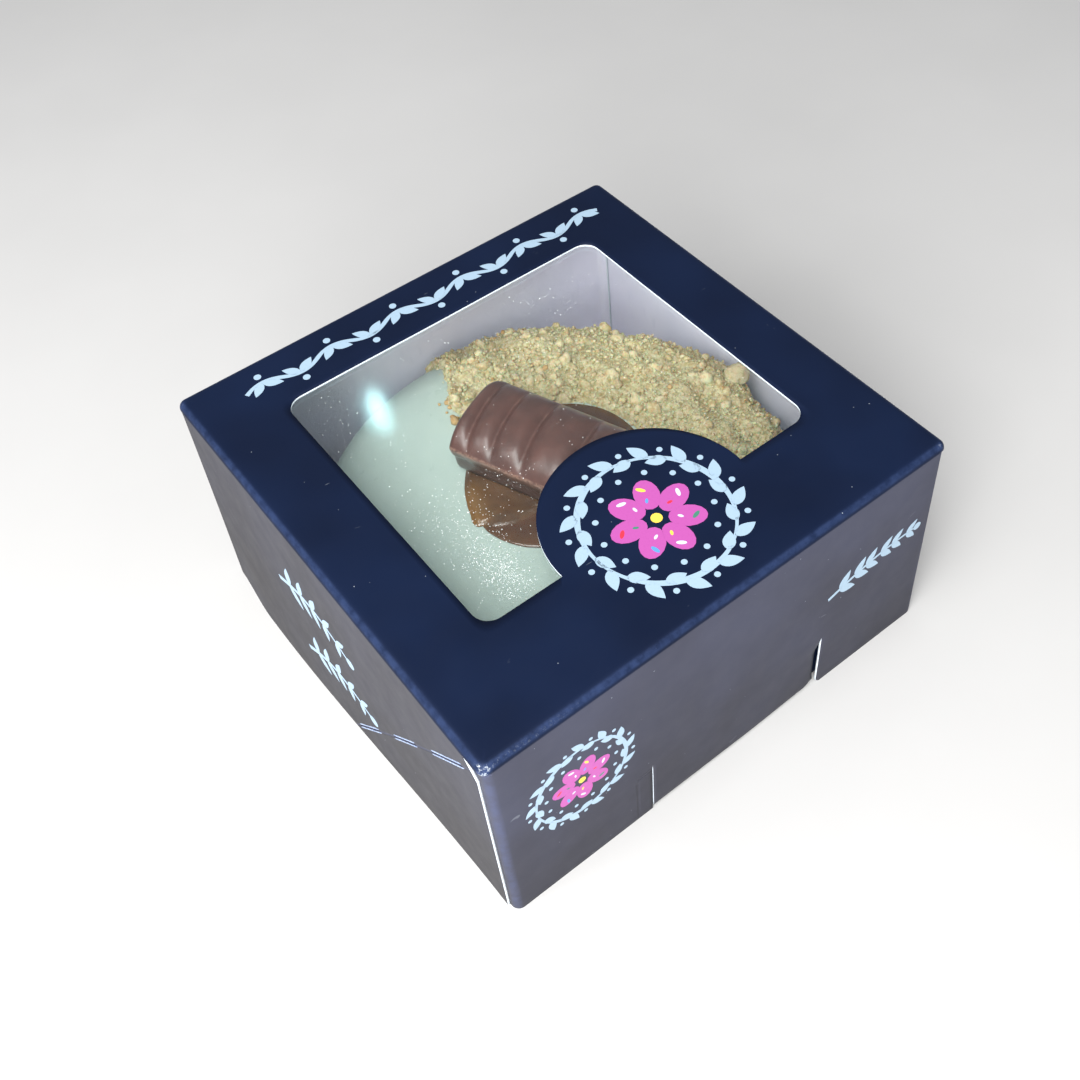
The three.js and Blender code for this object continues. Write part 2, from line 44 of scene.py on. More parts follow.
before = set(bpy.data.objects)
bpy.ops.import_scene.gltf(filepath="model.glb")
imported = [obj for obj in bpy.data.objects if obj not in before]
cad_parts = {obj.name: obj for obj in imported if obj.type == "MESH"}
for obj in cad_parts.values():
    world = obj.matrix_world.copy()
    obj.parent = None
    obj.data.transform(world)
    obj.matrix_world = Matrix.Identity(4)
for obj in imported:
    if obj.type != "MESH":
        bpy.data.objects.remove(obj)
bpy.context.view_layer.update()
print("nodes:", sorted(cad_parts))

# %% [markdown]
# ## Sizes
#
# A carton maker starts from the outside size and the thickness of the board. The box is measured on the
# solid, so that it stays true if the solid changes. The places inside the window, the bar and the pool
# are the solid's own driving sizes, written down once here and used by every cell that needs them.

# %% Sizes of the carton
box_low, box_high = [np.array(corner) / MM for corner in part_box("carton")]
HALF = box_high[0]  # from the middle of the box to a wall's face
TOP = box_high[2]  # height of the lid's face
CARD = 0.5
FOLD = 1.8  # radius of a fold
FLAT = HALF - FOLD  # where the flat part of a panel ends
WINDOW = {"left": -38.4, "right": 39.6, "front": -32.2, "back": 38.9, "corner": 3.7}
LOBE_MIDDLE = np.array([0.2, -31.3])  # round lobe of card that reaches into the window
LOBE_RADIUS = 21.5
SLIT_LEFT, SLIT_RIGHT = -20.4, 24.5  # lock slits in the front wall
SLIT_TOP = 17.6
TONGUE_RISE = 1.2
SIDE_END = 52.8  # half the length of a side wall, which ends in a raw edge
print("carton:", np.round(box_high - box_low, 2), "mm")

# %% Sizes of the food
DOUGHNUT_MIDDLE = np.array([-1.1, -0.9])
ICING_RADIUS = 52.6
WAIST = 21.0  # height of the widest level
CREST = 40.0  # height of the icing's top
SHOULDER = 3.6  # power of the shoulder's curve: 2 is an ellipse, more is squarer
POOL_MIDDLE = np.array([-0.1, -0.5])
BAR_WIDTH, BAR_LENGTH, BAR_SIDE, BAR_CROWN = 19.6, 50.0, 8.2, 3.1
BAR_END = np.array([-7.3, 17.0])
BAR_HEADING = math.radians(-68.5)
BAR_LEAN = math.radians(4.8)
BAR_BASE = CREST + 0.95 + BAR_WIDTH / 2 * math.sin(BAR_LEAN)
print("doughnut:", 2 * ICING_RADIUS, "mm wide; bar:", BAR_LENGTH, "x", BAR_WIDTH, "mm")

# %% [markdown]
# ## Camera
#
# The viewer looks down on the box from its front left corner. The camera is placed by its turn round the
# box, its rise above the table and a small roll, and the frame is shifted a little, because the box
# isn't quite in the middle of the picture.

# %% Camera
CAMERA_PLACE = Vector((-95.183, -153.56, 247.529)) * MM
CAMERA_TURN, CAMERA_RISE, CAMERA_ROLL = [math.radians(angle) for angle in (-36.033, 48.725, -3.567)]
SENSOR_WIDTH, LENS = 36.0, 44.197
FRAME_SHIFT = -0.0741


def camera_axes(turn, rise, roll):
    """The camera's right, up and backward directions."""
    back = Vector((math.sin(turn) * math.cos(rise), -math.cos(turn) * math.cos(rise), math.sin(rise)))
    level = Vector((math.cos(turn), math.sin(turn), 0))
    right = level * math.cos(roll) + back.cross(level) * math.sin(roll)
    return right, back.cross(right), back


def add_camera():
    camera = bpy.data.objects.new("camera", bpy.data.cameras.new("camera"))
    camera.data.sensor_width = SENSOR_WIDTH
    camera.data.lens = LENS
    camera.data.shift_x = FRAME_SHIFT
    camera.data.shift_y = FRAME_SHIFT
    camera.data.clip_start = 0.01
    axes = camera_axes(CAMERA_TURN, CAMERA_RISE, CAMERA_ROLL)
    camera.matrix_world = Matrix.Translation(CAMERA_PLACE) @ Matrix(axes).transposed().to_4x4()
    bpy.context.scene.collection.objects.link(camera)
    bpy.context.scene.camera = camera


add_camera()
print("camera:", [round(place / MM, 1) for place in CAMERA_PLACE], "mm")

# %% [markdown]
# ## Making a piece
#
# Most pieces here are sheets or lathe-like shells, so they are easiest to write as a grid of points:
# rows in one direction and columns in the other. One helper turns rows and columns into faces, and
# another turns points and faces into an object, gives it its materials and fixes it to the frame.

# %% Faces of a grid
def grid_faces(rows, columns, closed=False, start=0):
    """Quads over rows x columns points. closed joins the last column to the first one."""
    last = columns if closed else columns - 1
    faces = []
    for row, column in itertools.product(range(rows - 1), range(last)):
        here = start + row * columns + column
        beside = start + row * columns + (column + 1) % columns
        faces.append((here, beside, beside + columns, here + columns))
    return faces


def end_faces(points, columns):
    """The two faces that close a tube at its first and its last row."""
    return [tuple(range(columns - 1, -1, -1)), tuple(range(len(points) - columns, len(points)))]


print("faces of a grid of 3 x 3 points:", grid_faces(3, 3))

# %% An object from points and faces
def make_mesh(name, points, faces, materials):
    """A new object from points in millimetres."""
    mesh = bpy.data.meshes.new(name)
    mesh.from_pydata((np.asarray(points, float) * MM).tolist(), [], faces)
    mesh.update()
    for material in materials:
        mesh.materials.append(material)
    mesh.shade_smooth()
    piece = bpy.data.objects.new(name, mesh)
    bpy.context.scene.collection.objects.link(piece)
    return piece


# %% Modifiers, joined points and values on points
def modify(piece, kind, **settings):
    """Adds a modifier of a kind, such as SOLIDIFY, with its settings."""
    modifier = piece.modifiers.new(kind.lower(), kind)
    for key, value in settings.items():
        setattr(modifier, key, value)


def tidy_mesh(piece, distance):
    """Joins points that lie together, and turns the faces outwards."""
    bpy.ops.object.select_all(action="DESELECT")
    bpy.context.view_layer.objects.active = piece
    piece.select_set(True)
    bpy.ops.object.mode_set(mode="EDIT")
    bpy.ops.mesh.select_all(action="SELECT")
    bpy.ops.mesh.remove_doubles(threshold=distance * MM)
    bpy.ops.mesh.normals_make_consistent(inside=False)
    bpy.ops.object.mode_set(mode="OBJECT")
    piece.select_set(False)


def store_values(piece, name, values):
    """Puts one number on each point of a piece, for its material to read."""
    layer = piece.data.attributes.new(name, "FLOAT", "POINT")
    layer.data.foreach_set("value", np.asarray(values, np.float32).ravel())


# %% Fixing a piece to the frame
ROOT = "root"  # the one body of the solid, as nothing on the box moves


def settle(piece, slot, *replaced):
    """Fixes a finished piece to the frame, in place of the solids named."""
    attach(piece, ROOT)
    if replaced:
        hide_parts(*replaced)
    print(f"{piece.name}: {len(piece.data.polygons)} faces")


# %% [markdown]
# ## Unevenness
#
# Nothing baked or folded by hand is even. A smooth random height field, built by blending random values
# that sit on the corners of a lattice, gives bumps of any size that is asked for. It is worked out for
# all points at once, and it has a fixed seed, so that every run gives the same crumbs and dents.

# %% Uneven heights
random = np.random.default_rng(7)
LATTICE = random.uniform(-1, 1, 8192)


def uneven(points, grain, seed=0):
    """Heights from -1 to 1 with bumps about one grain wide, for an array of points."""
    cells = np.asarray(points, float) / grain + seed * 19.7
    base = np.floor(cells).astype(int)
    share = cells - base
    ease = share**2 * (3 - 2 * share)
    total = np.zeros(len(cells))
    for corner in itertools.product((0, 1), repeat=3):
        spot = base + corner
        value = LATTICE[(spot[:, 0] * 73 + spot[:, 1] * 1361 + spot[:, 2] * 3251) % len(LATTICE)]
        total += value * np.prod(np.where(corner, ease, 1 - ease), axis=1)
    return total


def smooth_step(value, low, high):
    """0 before low, 1 beyond high, and an eased change between."""
    share = np.clip((np.asarray(value, float) - low) / (high - low), 0, 1)
    return share**2 * (3 - 2 * share)


print("heights along a line:", np.round(uneven([(x, 0, 0) for x in range(6)], 2.0), 2))

# %% [markdown]
# ## Writing materials
#
# A material is a small graph: a pattern, a range that sharpens or softens it, and colours that it
# blends. These helpers add one node each and return its result, so that a recipe reads from the inside
# out like a formula. All patterns are measured in millimetres on the object itself, so they stay put
# whatever the view.

# %% One node
def add_node(tree, kind, settings, inputs):
    """A new node. An input is a plain value, or another node's socket to link to."""
    node = tree.nodes.new("ShaderNode" + kind)
    for key, value in settings.items():
        setattr(node, key, value)
    for key, value in inputs.items():
        socket = node.inputs[key]
        if isinstance(value, bpy.types.NodeSocket):
            tree.links.new(value, socket)
        else:
            socket.default_value = value
    return node


# %% Recipes
class Recipe:
    """A material in the making. Its methods add nodes and return the sockets they end in."""

    def __init__(self, name, **constants):
        self.material = bpy.data.materials.new(name)
        self.material.use_nodes = True
        self.tree = self.material.node_tree
        self.shader = self.tree.nodes["Principled BSDF"]
        for key, value in constants.items():
            self.shader.inputs[key.replace("_", " ")].default_value = value
        place = add_node(self.tree, "TexCoord", {}, {}).outputs["Object"]
        scaled = add_node(self.tree, "VectorMath", {"operation": "SCALE"}, {0: place, "Scale": 1 / MM})
        self.place = scaled.outputs[0]
        split = add_node(self.tree, "SeparateXYZ", {}, {0: self.place})
        self.x, self.y, self.z = split.outputs

    def noise(self, size, detail=3.0, rough=0.55, distort=0.0, place=None):
        inputs = {"Vector": place or self.place, "Scale": 1 / size, "Detail": detail, "Roughness": rough}
        inputs["Distortion"] = distort
        return add_node(self.tree, "TexNoise", {}, inputs).outputs["Fac"]

    def cells(self, size):
        """Distance from the nearest of many scattered points, for specks."""
        inputs = {"Vector": self.place, "Scale": 1 / size}
        return add_node(self.tree, "TexVoronoi", {}, inputs).outputs[0]

    def stretched(self, x, y, z):
        """The place with its axes scaled, for patterns longer one way than the other."""
        settings = {"operation": "MULTIPLY"}
        return add_node(self.tree, "VectorMath", settings, {0: self.place, 1: (x, y, z)}).outputs[0]

    def span(self, value, low, high, start=0.0, end=1.0):
        """start below low, end above high, and a straight change between."""
        inputs = {"Value": value, "From Min": low, "From Max": high, "To Min": start, "To Max": end}
        return add_node(self.tree, "MapRange", {}, inputs).outputs[0]

    def maths(self, operation, first, second=0.0):
        return add_node(self.tree, "Math", {"operation": operation}, {0: first, 1: second}).outputs[0]

    def times(self, first, second):
        return self.maths("MULTIPLY", first, second)

    def blend(self, share, first, second):
        settings = {"data_type": "RGBA"}
        return add_node(self.tree, "Mix", settings, {0: share, 6: first, 7: second}).outputs[2]

    def attribute(self, name):
        return add_node(self.tree, "Attribute", {"attribute_name": name}, {}).outputs["Fac"]

    def colour(self, socket):
        self.tree.links.new(socket, self.shader.inputs["Base Color"])

    def roughness(self, pattern, low, high):
        """Roughness from low to high, as the pattern goes."""
        self.tree.links.new(self.span(pattern, 0.3, 0.7, low, high), self.shader.inputs["Roughness"])

    def bump(self, height, depth, strength=1.0):
        """Adds relief of the given depth in millimetres, over any relief added before."""
        socket = self.shader.inputs["Normal"]
        inputs = {"Height": height, "Distance": depth * MM, "Strength": strength}
        if socket.is_linked:
            inputs["Normal"] = socket.links[0].from_socket
        self.tree.links.new(add_node(self.tree, "Bump", {}, inputs).outputs[0], socket)


# %% Colours
def shade(red, green, blue):
    """A colour as a screen shows it, 0 to 255, turned into the light values that Blender mixes."""
    screen = np.array([red, green, blue]) / 255
    light = np.where(screen <= 0.04045, screen / 12.92, ((screen + 0.055) / 1.055) ** 2.4)
    return (*light.tolist(), 1.0)


print("middle grey on a screen is this much light:", round(shade(128, 128, 128)[0], 3))

# %% [markdown]
# ## Printed board
#
# The carton is coated board: dark blue ink on the lid, a grey on the walls that is bluer in front and
# warmer at the sides, with painted light that makes it lighter towards the top and a little lighter on the
# side walls, bare lavender white inside, and a white core that shows wherever the board is cut.
# Ink wears first on the folds, where it cracks and goes pale blue; the pale band along each fold is also
# painted highlight, for the sheen of the rounded fold. That value is stored on the mesh from 0 to 1,
# because the mesh knows where its folds are, and the material only breaks it up with noise. Lines too
# fine for the mesh, such as the crease on a side wall, are pressed in with bump.

# %% Inks of the board
INK = shade(6, 19, 44)
INK_LIGHT = shade(10, 25, 53)
# Each wall's second grey is its colour at the top: the lightening upwards is painted light.
WALL = shade(57, 57, 66)
WALL_PAINTED_LIGHT = shade(68, 70, 86)
SIDE_WALL = shade(61, 60, 63)
SIDE_WALL_PAINTED_LIGHT = shade(68, 68, 76)
# The worn blues of the folds stand for cracked ink and also for painted highlight on the rounded folds.
WORN_INK_AND_SHEEN = shade(43, 58, 93)
WORN_WALL_AND_SHEEN = shade(77, 84, 114)
WHITE_CORE = shade(226, 236, 244)
print("lid ink:", np.round(INK[:3], 4), "wall ink:", np.round(WALL[:3], 4))


# %% Printed board
def printed_board():
    recipe = Recipe("printed_board", Specular_IOR_Level=0.16)
    fibre = recipe.noise(0.35, 4.0, 0.7)
    ink = recipe.blend(recipe.span(recipe.noise(26, 2.0), 0.35, 0.65), INK, INK_LIGHT)
    # Painted light: the walls' grey gets lighter and bluer towards the top, and is a little lighter on the
    # side walls.
    level = recipe.maths("ADD", recipe.z, recipe.span(recipe.noise(26, 2.0), 0.3, 0.7, -20, 20))
    height = recipe.span(level, 0, 58)
    is_side = recipe.span(recipe.maths("ABSOLUTE", recipe.x), HALF - 0.8, HALF - 0.2)
    front_wall = recipe.blend(height, WALL, WALL_PAINTED_LIGHT)
    wall = recipe.blend(is_side, front_wall, recipe.blend(height, SIDE_WALL, SIDE_WALL_PAINTED_LIGHT))
    is_lid = recipe.span(recipe.z, TOP - 2.1, TOP - 1.7)
    printed = recipe.blend(is_lid, wall, ink)
    # Pale blue along the folds: cracked ink, and painted highlight where the rounded fold meets the light.
    worn_and_sheen_ink = recipe.blend(is_lid, WORN_WALL_AND_SHEEN, WORN_INK_AND_SHEEN)
    wear_and_sheen = recipe.attribute("wear_and_sheen")
    patches = recipe.span(recipe.noise(2.6, 4.0, 0.65), 0.34, 0.6, 0.25, 1.0)
    worn_and_sheen = recipe.blend(recipe.times(recipe.span(wear_and_sheen, 0.0, 0.6), patches), printed, worn_and_sheen_ink)
    chips = recipe.times(recipe.span(wear_and_sheen, 0.45, 0.9), recipe.span(recipe.noise(0.5, 5.0, 0.7), 0.54, 0.66))
    chipped = recipe.blend(recipe.maths("MAXIMUM", chips, recipe.span(wear_and_sheen, 0.93, 0.99)), worn_and_sheen, WHITE_CORE)
    creased = recipe.blend(recipe.times(crease_line(recipe), 0.35), chipped, WORN_WALL_AND_SHEEN)
    specks = recipe.span(recipe.cells(3.0), 0.038, 0.024)
    dust = recipe.times(specks, recipe.span(recipe.noise(9.0), 0.5, 0.56))
    scratch = recipe.noise(1.8, 2.0, 0.5, 1.2, recipe.stretched(0.3, 1.4, 0.4))
    scratches = recipe.times(recipe.span(scratch, 0.75, 0.77), recipe.span(recipe.noise(15.0), 0.52, 0.62))
    marks = recipe.maths("MAXIMUM", dust, recipe.times(scratches, 0.2))
    recipe.colour(recipe.blend(recipe.times(marks, 0.55), creased, WHITE_CORE))
    recipe.roughness(recipe.noise(5.0, 4.0), 0.52, 0.62)
    recipe.bump(fibre, 0.006)
    recipe.bump(crease_line(recipe), -0.15)
    recipe.bump(tab_outline(recipe), -0.12)
    return recipe.material


# %% Lines pressed into the board
def crease_line(recipe):
    """1 on the crease that runs down at 45 degrees from the top front corner of each side wall."""
    level = recipe.maths("ADD", recipe.y, recipe.z)
    off_line = recipe.maths("ABSOLUTE", recipe.maths("SUBTRACT", level, TOP - HALF))
    on_side = recipe.span(recipe.maths("ABSOLUTE", recipe.x), HALF - 0.6, HALF - 0.4)
    return recipe.times(recipe.span(off_line, 0.55, 0.15), on_side)


def tab_outline(recipe):
    """1 on the outline that the tab behind the left slit presses through the front wall."""
    tab_side, tab_top = SLIT_LEFT - 3.8, SLIT_TOP - 1.4
    beside = recipe.maths("ABSOLUTE", recipe.maths("SUBTRACT", recipe.x, tab_side))
    above = recipe.maths("ABSOLUTE", recipe.maths("SUBTRACT", recipe.z, tab_top))
    upright = recipe.times(recipe.span(beside, 0.5, 0.1), recipe.span(recipe.z, tab_top - 1.0, tab_top - 1.6))
    level = recipe.times(recipe.span(above, 0.5, 0.1), recipe.span(recipe.x, tab_side - 0.1, tab_side + 0.3))
    on_front = recipe.span(recipe.y, -HALF + 0.8, -HALF + 0.6)
    left_of_slit = recipe.span(recipe.x, SLIT_LEFT, SLIT_LEFT - 0.3)
    return recipe.times(recipe.times(recipe.maths("MAXIMUM", upright, level), on_front), left_of_slit)


# %% Bare board and cut board
def bare_board():
    recipe = Recipe("bare_board", Specular_IOR_Level=0.35)
    cloud = recipe.noise(17, 3.0)
    tone = recipe.blend(recipe.span(cloud, 0.3, 0.7), shade(239, 235, 252), shade(247, 243, 255))
    fibre = recipe.noise(1.1, 5.0, 0.7, 0.4, recipe.stretched(1, 1, 0.25))
    recipe.colour(recipe.blend(recipe.span(fibre, 0.55, 0.75, 0.0, 0.3), tone, shade(208, 208, 226)))
    recipe.roughness(fibre, 0.34, 0.5)
    recipe.bump(fibre, 0.02)
    return recipe.material


def cut_board():
    recipe = Recipe("cut_board", Roughness=0.85, Specular_IOR_Level=0.2)
    layers = recipe.noise(0.3, 4.0, 0.7)
    recipe.colour(recipe.blend(recipe.span(layers, 0.35, 0.7), shade(236, 243, 248), shade(196, 205, 214)))
    recipe.bump(layers, 0.05)
    return recipe.material


BOARD = [printed_board(), bare_board(), cut_board()]
print("board:", [finish.name for finish in BOARD])

# %% [markdown]
# ## The window's outline
#
# The window is a square with rounded corners, and a round lobe of card reaches into it from the front.
# Its outline is walked side by side, so that every side of the window has as many points as the lid's
# own edge beyond it. Then the lid can be woven as rings of quads between the two.

# %% Window outline
def arc(middle, radius, start, end, count):
    angles = np.radians(np.linspace(start, end, count))
    return np.array(middle) + radius * np.stack([np.cos(angles), np.sin(angles)], axis=1)


def respaced(line, count):
    """The same line with evenly spaced points."""
    steps = np.linalg.norm(np.diff(line, axis=0), axis=1)
    run = np.concatenate([[0], np.cumsum(steps)])
    stops = np.linspace(0, run[-1], count)
    return np.stack([np.interp(stops, run, line[:, axis]) for axis in (0, 1)], axis=1)


def window_sides():
    """The window's outline as front, right, back and left parts, each from corner to corner."""
    radius = WINDOW["corner"]
    left, right = WINDOW["left"] + radius, WINDOW["right"] - radius
    front, back = WINDOW["front"] + radius, WINDOW["back"] - radius
    front_side = [arc((left, front), radius, 225, 270, 8), arc((right, front), radius, 270, 315, 8)]
    right_side = [arc((right, front), radius, 315, 360, 8), arc((right, back), radius, 0, 45, 8)]
    back_side = [arc((right, back), radius, 45, 90, 8), arc((left, back), radius, 90, 135, 8)]
    left_side = [arc((left, back), radius, 135, 180, 8), arc((left, front), radius, 180, 225, 8)]
    return [np.concatenate(side) for side in (front_side, right_side, back_side, left_side)]


print("points on each side of the window:", [len(side) for side in window_sides()])

# %% [markdown]
# ## The folded carton
#
# A folding carton is one sheet that is cut, creased and glued. Modelled as a sheet, it gets its
# thickness from a Solidify modifier: the outer face keeps the print, the inner face turns to bare board,
# and the rim, wherever the sheet is cut, shows the white core. So every panel below is only the outer
# skin. Each panel is a grid whose edge points match its neighbour's, and joining points that lie
# together welds the box.

# %% Places along an edge of the lid
def edge_stops(*marks):
    """Places from -FLAT to FLAT about 1 mm apart, with each mark among them."""
    ends = [-FLAT, *marks, FLAT]
    parts = [np.linspace(a, b, max(2, round(b - a) + 1)) for a, b in zip(ends, ends[1:])]
    return np.unique(np.round(np.concatenate(parts), 4))


WALL_END = FLAT - CARD  # the front wall's flat part ends here, inside the side walls
FRONT_STOPS = edge_stops(-WALL_END, SLIT_LEFT, SLIT_RIGHT, WALL_END)
BACK_STOPS = edge_stops(-WALL_END, WALL_END)
SIDE_STOPS = edge_stops(-SIDE_END, SIDE_END)
FOLD_TURNS = np.radians(np.linspace(0, 90, 7))
FOLD_HEIGHT = TOP - FOLD  # where the walls begin, under the folds
print("points along the front, back and side edges:", len(FRONT_STOPS), len(BACK_STOPS), len(SIDE_STOPS))


# %% A sheet in the making
class Sheet:
    """Collects grids of points into one skin."""

    def __init__(self):
        self.points = []
        self.faces = []

    def add(self, rows, outward):
        """Adds a grid, given as rows of points, with its faces turned to look along outward."""
        rows = np.asarray(rows, float)
        count, columns = rows.shape[:2]
        across = rows[count // 2, 1] - rows[count // 2, 0]
        down = rows[1, columns // 2] - rows[0, columns // 2]
        faces = grid_faces(count, columns, start=len(self.points))
        if np.dot(np.cross(across, down), outward) < 0:
            faces = [face[::-1] for face in faces]
        self.points.extend(rows.reshape(-1, 3))
        self.faces.extend(faces)


# %% [markdown]
# ## Lid, folds and corners
#
# Board doesn't fold to a sharp edge: its layers slide and give a quarter round of about 2 mm. At the
# four top corners two such rounds meet in an eighth of a ball. The lid itself is woven as rings of
# quads, and its round lobe is woven between the window's front edge and the lobe's arc.

# %% Lid
LID_RINGS, LOBE_RINGS = 12, 16
LOBE_DIP = math.degrees(math.asin((WINDOW["front"] - LOBE_MIDDLE[1]) / LOBE_RADIUS))
LOBE_ARC = arc(LOBE_MIDDLE, LOBE_RADIUS, 180 - LOBE_DIP, LOBE_DIP, 200)
print("lobe's arc:", round(180 - 2 * LOBE_DIP, 1), "degrees")


def woven(outer, inner, rings):
    """Rows of points from one line to another, both at the height of the lid."""
    rows = [outer + (inner - outer) * share for share in np.linspace(0, 1, rings)]
    return [np.c_[row, np.full(len(row), TOP)] for row in rows]


def lid_panel(sheet):
    edges = [
        (FRONT_STOPS, "x", -1),
        (SIDE_STOPS, "y", 1),
        (BACK_STOPS[::-1], "x", 1),
        (SIDE_STOPS[::-1], "y", -1),
    ]
    for (stops, axis, side), window in zip(edges, window_sides()):
        fixed = np.full_like(stops, side * FLAT)
        outer = np.stack([stops, fixed] if axis == "x" else [fixed, stops], axis=1)
        inner = respaced(window, len(stops))
        if stops is FRONT_STOPS:
            lobe(sheet, inner)
        sheet.add(woven(outer, inner, LID_RINGS), (0, 0, 1))


def lobe(sheet, window_front):
    """The round lobe, between its arc and the window's front edge, which gets a point at each end."""
    ends = []
    for place in (LOBE_ARC[0], LOBE_ARC[-1]):
        nearest = np.argmin(np.abs(window_front[:, 0] - place[0]))
        window_front[nearest] = place
        ends.append(nearest)
    chord = window_front[ends[0]:ends[1] + 1]
    sheet.add(woven(chord, respaced(LOBE_ARC, len(chord)), LOBE_RINGS), (0, 0, 1))


# %% Folds and rounded corners
def top_folds(sheet):
    """The quarter rounds between the lid and the four walls."""
    out = FLAT + FOLD * np.sin(FOLD_TURNS)
    up = FOLD_HEIGHT + FOLD * np.cos(FOLD_TURNS)
    for side in (-1, 1):
        stops = FRONT_STOPS if side < 0 else BACK_STOPS
        sheet.add([[(x, side * o, z) for x in stops] for o, z in zip(out, up)], (0, side, 1))
        sheet.add([[(side * o, y, z) for y in SIDE_STOPS] for o, z in zip(out, up)], (side, 0, 1))


def top_corners(sheet):
    for side_x, side_y in itertools.product((-1, 1), repeat=2):
        rows = []
        for fall in FOLD_TURNS:
            out = FOLD * math.sin(fall)
            height = FOLD_HEIGHT + FOLD * math.cos(fall)
            rows.append([
                (side_x * (FLAT + out * math.cos(turn)), side_y * (FLAT + out * math.sin(turn)), height)
                for turn in FOLD_TURNS
            ])
        sheet.add(rows, (side_x, side_y, 1))


# %% [markdown]
# ## Walls
#
# The front and back walls turn a corner at each end and run on behind the side walls as glue flaps. The
# front wall's lower edge is cut by two slits, where the lock tabs of the base go in: the left one has
# stayed shut, and at the right one the tongue between them has been pushed in, so that the slit stands
# open. A side wall only covers the flaps, so it ends in a raw edge a little short of the corner, with a
# chamfer at its top.

# %% Front and back walls
ROWS_BESIDE_SLITS = np.linspace(0, SLIT_TOP, 17)
ROWS_ABOVE_SLITS = np.linspace(SLIT_TOP, FOLD_HEIGHT, 33)
WALL_ROWS = np.unique(np.concatenate([ROWS_BESIDE_SLITS, ROWS_ABOVE_SLITS]))[::-1]
FLAP_TIP_LOW, FLAP_TIP_HIGH = 4.0, 46.5
FRONT_FLAP, BACK_FLAP = 57, 1  # how far the glue flaps run on behind the side walls
print("rows of points up a wall:", len(WALL_ROWS))


def wall_with_flaps(sheet, side, stops, flap_length):
    """side is -1 for the front wall. The plain part is left out where cut_wall draws it."""
    columns = stops[1:-1]
    rows = WALL_ROWS if side > 0 else WALL_ROWS[WALL_ROWS >= SLIT_TOP]
    sheet.add([[(x, side * HALF, z) for x in columns] for z in rows], (0, side, 0))
    for end in (-1, 1):
        out = end * (WALL_END + FOLD * np.sin(FOLD_TURNS))
        deep = side * (FLAT + FOLD * np.cos(FOLD_TURNS))
        sheet.add([[(x, y, z) for x, y in zip(out, deep)] for z in WALL_ROWS], (end, side, 0))
        glue_flap(sheet, side, end, flap_length)


def glue_flap(sheet, side, end, length):
    """The strip behind a side wall, narrowing to its tip."""
    rows = []
    for z in WALL_ROWS:
        level = z / FOLD_HEIGHT
        row = []
        for run in np.linspace(0, 1, round(length) + 1):
            low = FLAP_TIP_LOW * run
            high = FOLD_HEIGHT + (FLAP_TIP_HIGH - FOLD_HEIGHT) * run
            row.append((end * (HALF - CARD), side * (FLAT - run * length), low + (high - low) * level))
        rows.append(row)
    sheet.add(rows, (end, 0, 0))


# %% Slits and tongue
def slit_edges(z):
    """Where the tongue's edges and the wall's edges beyond them lie, at a height."""
    left_gap = 0.3 - 0.1 * z / SLIT_TOP
    opening = 0.2 + 0.5 * smooth_step(z, 0.5, 4.5) * smooth_step(z, SLIT_TOP, SLIT_TOP - 5)
    if z >= SLIT_TOP:
        left_gap = opening = 0
    flare = max(TONGUE_RISE - z, 0)
    return SLIT_LEFT - left_gap, SLIT_LEFT, SLIT_RIGHT - opening, SLIT_RIGHT + flare


def tongue_push(x, z):
    """How far the tongue has been pushed in: a little along its length, and most in the open slit."""
    bowed = 0.3 * smooth_step(x, SLIT_RIGHT - 22, SLIT_RIGHT)
    at_edge = 0.5 * smooth_step(x, SLIT_RIGHT - 3, SLIT_RIGHT - 0.5)
    return (bowed + at_edge) * smooth_step(z, SLIT_TOP, SLIT_TOP - 6)


def cut_wall(sheet):
    """The lower part of the front wall: left of the slits, the tongue, and right of them."""
    rows = WALL_ROWS[WALL_ROWS <= SLIT_TOP]
    columns = FRONT_STOPS[1:-1]
    parts = [columns[columns <= SLIT_LEFT], columns[(columns >= SLIT_LEFT) & (columns <= SLIT_RIGHT)]]
    parts.append(columns[columns >= SLIT_RIGHT])
    for number, part in enumerate(parts):
        is_tongue = number == 1
        levels = np.unique(np.maximum(rows, TONGUE_RISE))[::-1] if is_tongue else rows
        grid = []
        for z in levels:
            left_wall, tongue_left, tongue_right, right_wall = slit_edges(z)
            low, high = [(part[0], left_wall), (tongue_left, tongue_right), (right_wall, part[-1])][number]
            across = low + (part - part[0]) * (high - low) / (part[-1] - part[0])
            grid.append([(x, -HALF + (tongue_push(x, z) if is_tongue else 0), z) for x in across])
        sheet.add(grid, (0, -1, 0))


print("right slit half-way up:", round(SLIT_RIGHT - slit_edges(SLIT_TOP / 2)[2], 2), "mm open")

# %% [markdown]
# ## Side walls
#
# A side wall is a plain grid whose top row steps down at the front end. That chamfer keeps the panel
# clear of the front wall's fold when the blank is folded up.

# %% Side walls
CHAMFER_RUN, CHAMFER_DROP = 3.0, 4.2
print("side wall:", 2 * SIDE_END, "mm long,", round(FOLD_HEIGHT, 1), "mm high")


def side_wall(sheet, side):
    columns = SIDE_STOPS[1:-1]
    chamfer = np.clip(1 - (columns + SIDE_END) / CHAMFER_RUN, 0, 1) * CHAMFER_DROP
    tops = FOLD_HEIGHT - chamfer
    rows = [[(side * HALF, y, z / FOLD_HEIGHT * top) for y, top in zip(columns, tops)] for z in WALL_ROWS]
    sheet.add(rows, (side, 0, 0))


# %% [markdown]
# ## Base
#
# The base hangs on the back wall and its front flap tucks up inside the front wall. It sits a card's
# thickness inside the walls. It is hardly ever seen, but the box gets turned over too.

# %% Base and tuck flap
TUCK_HALF, TUCK_TOP, TUCK_CORNER = 50.0, 18.6, 6.0
TUCK_GAP = 0.3  # air between the tuck flap and the front wall
TUCK_DENT = 1.9  # how much deeper the flap stands behind the open slit


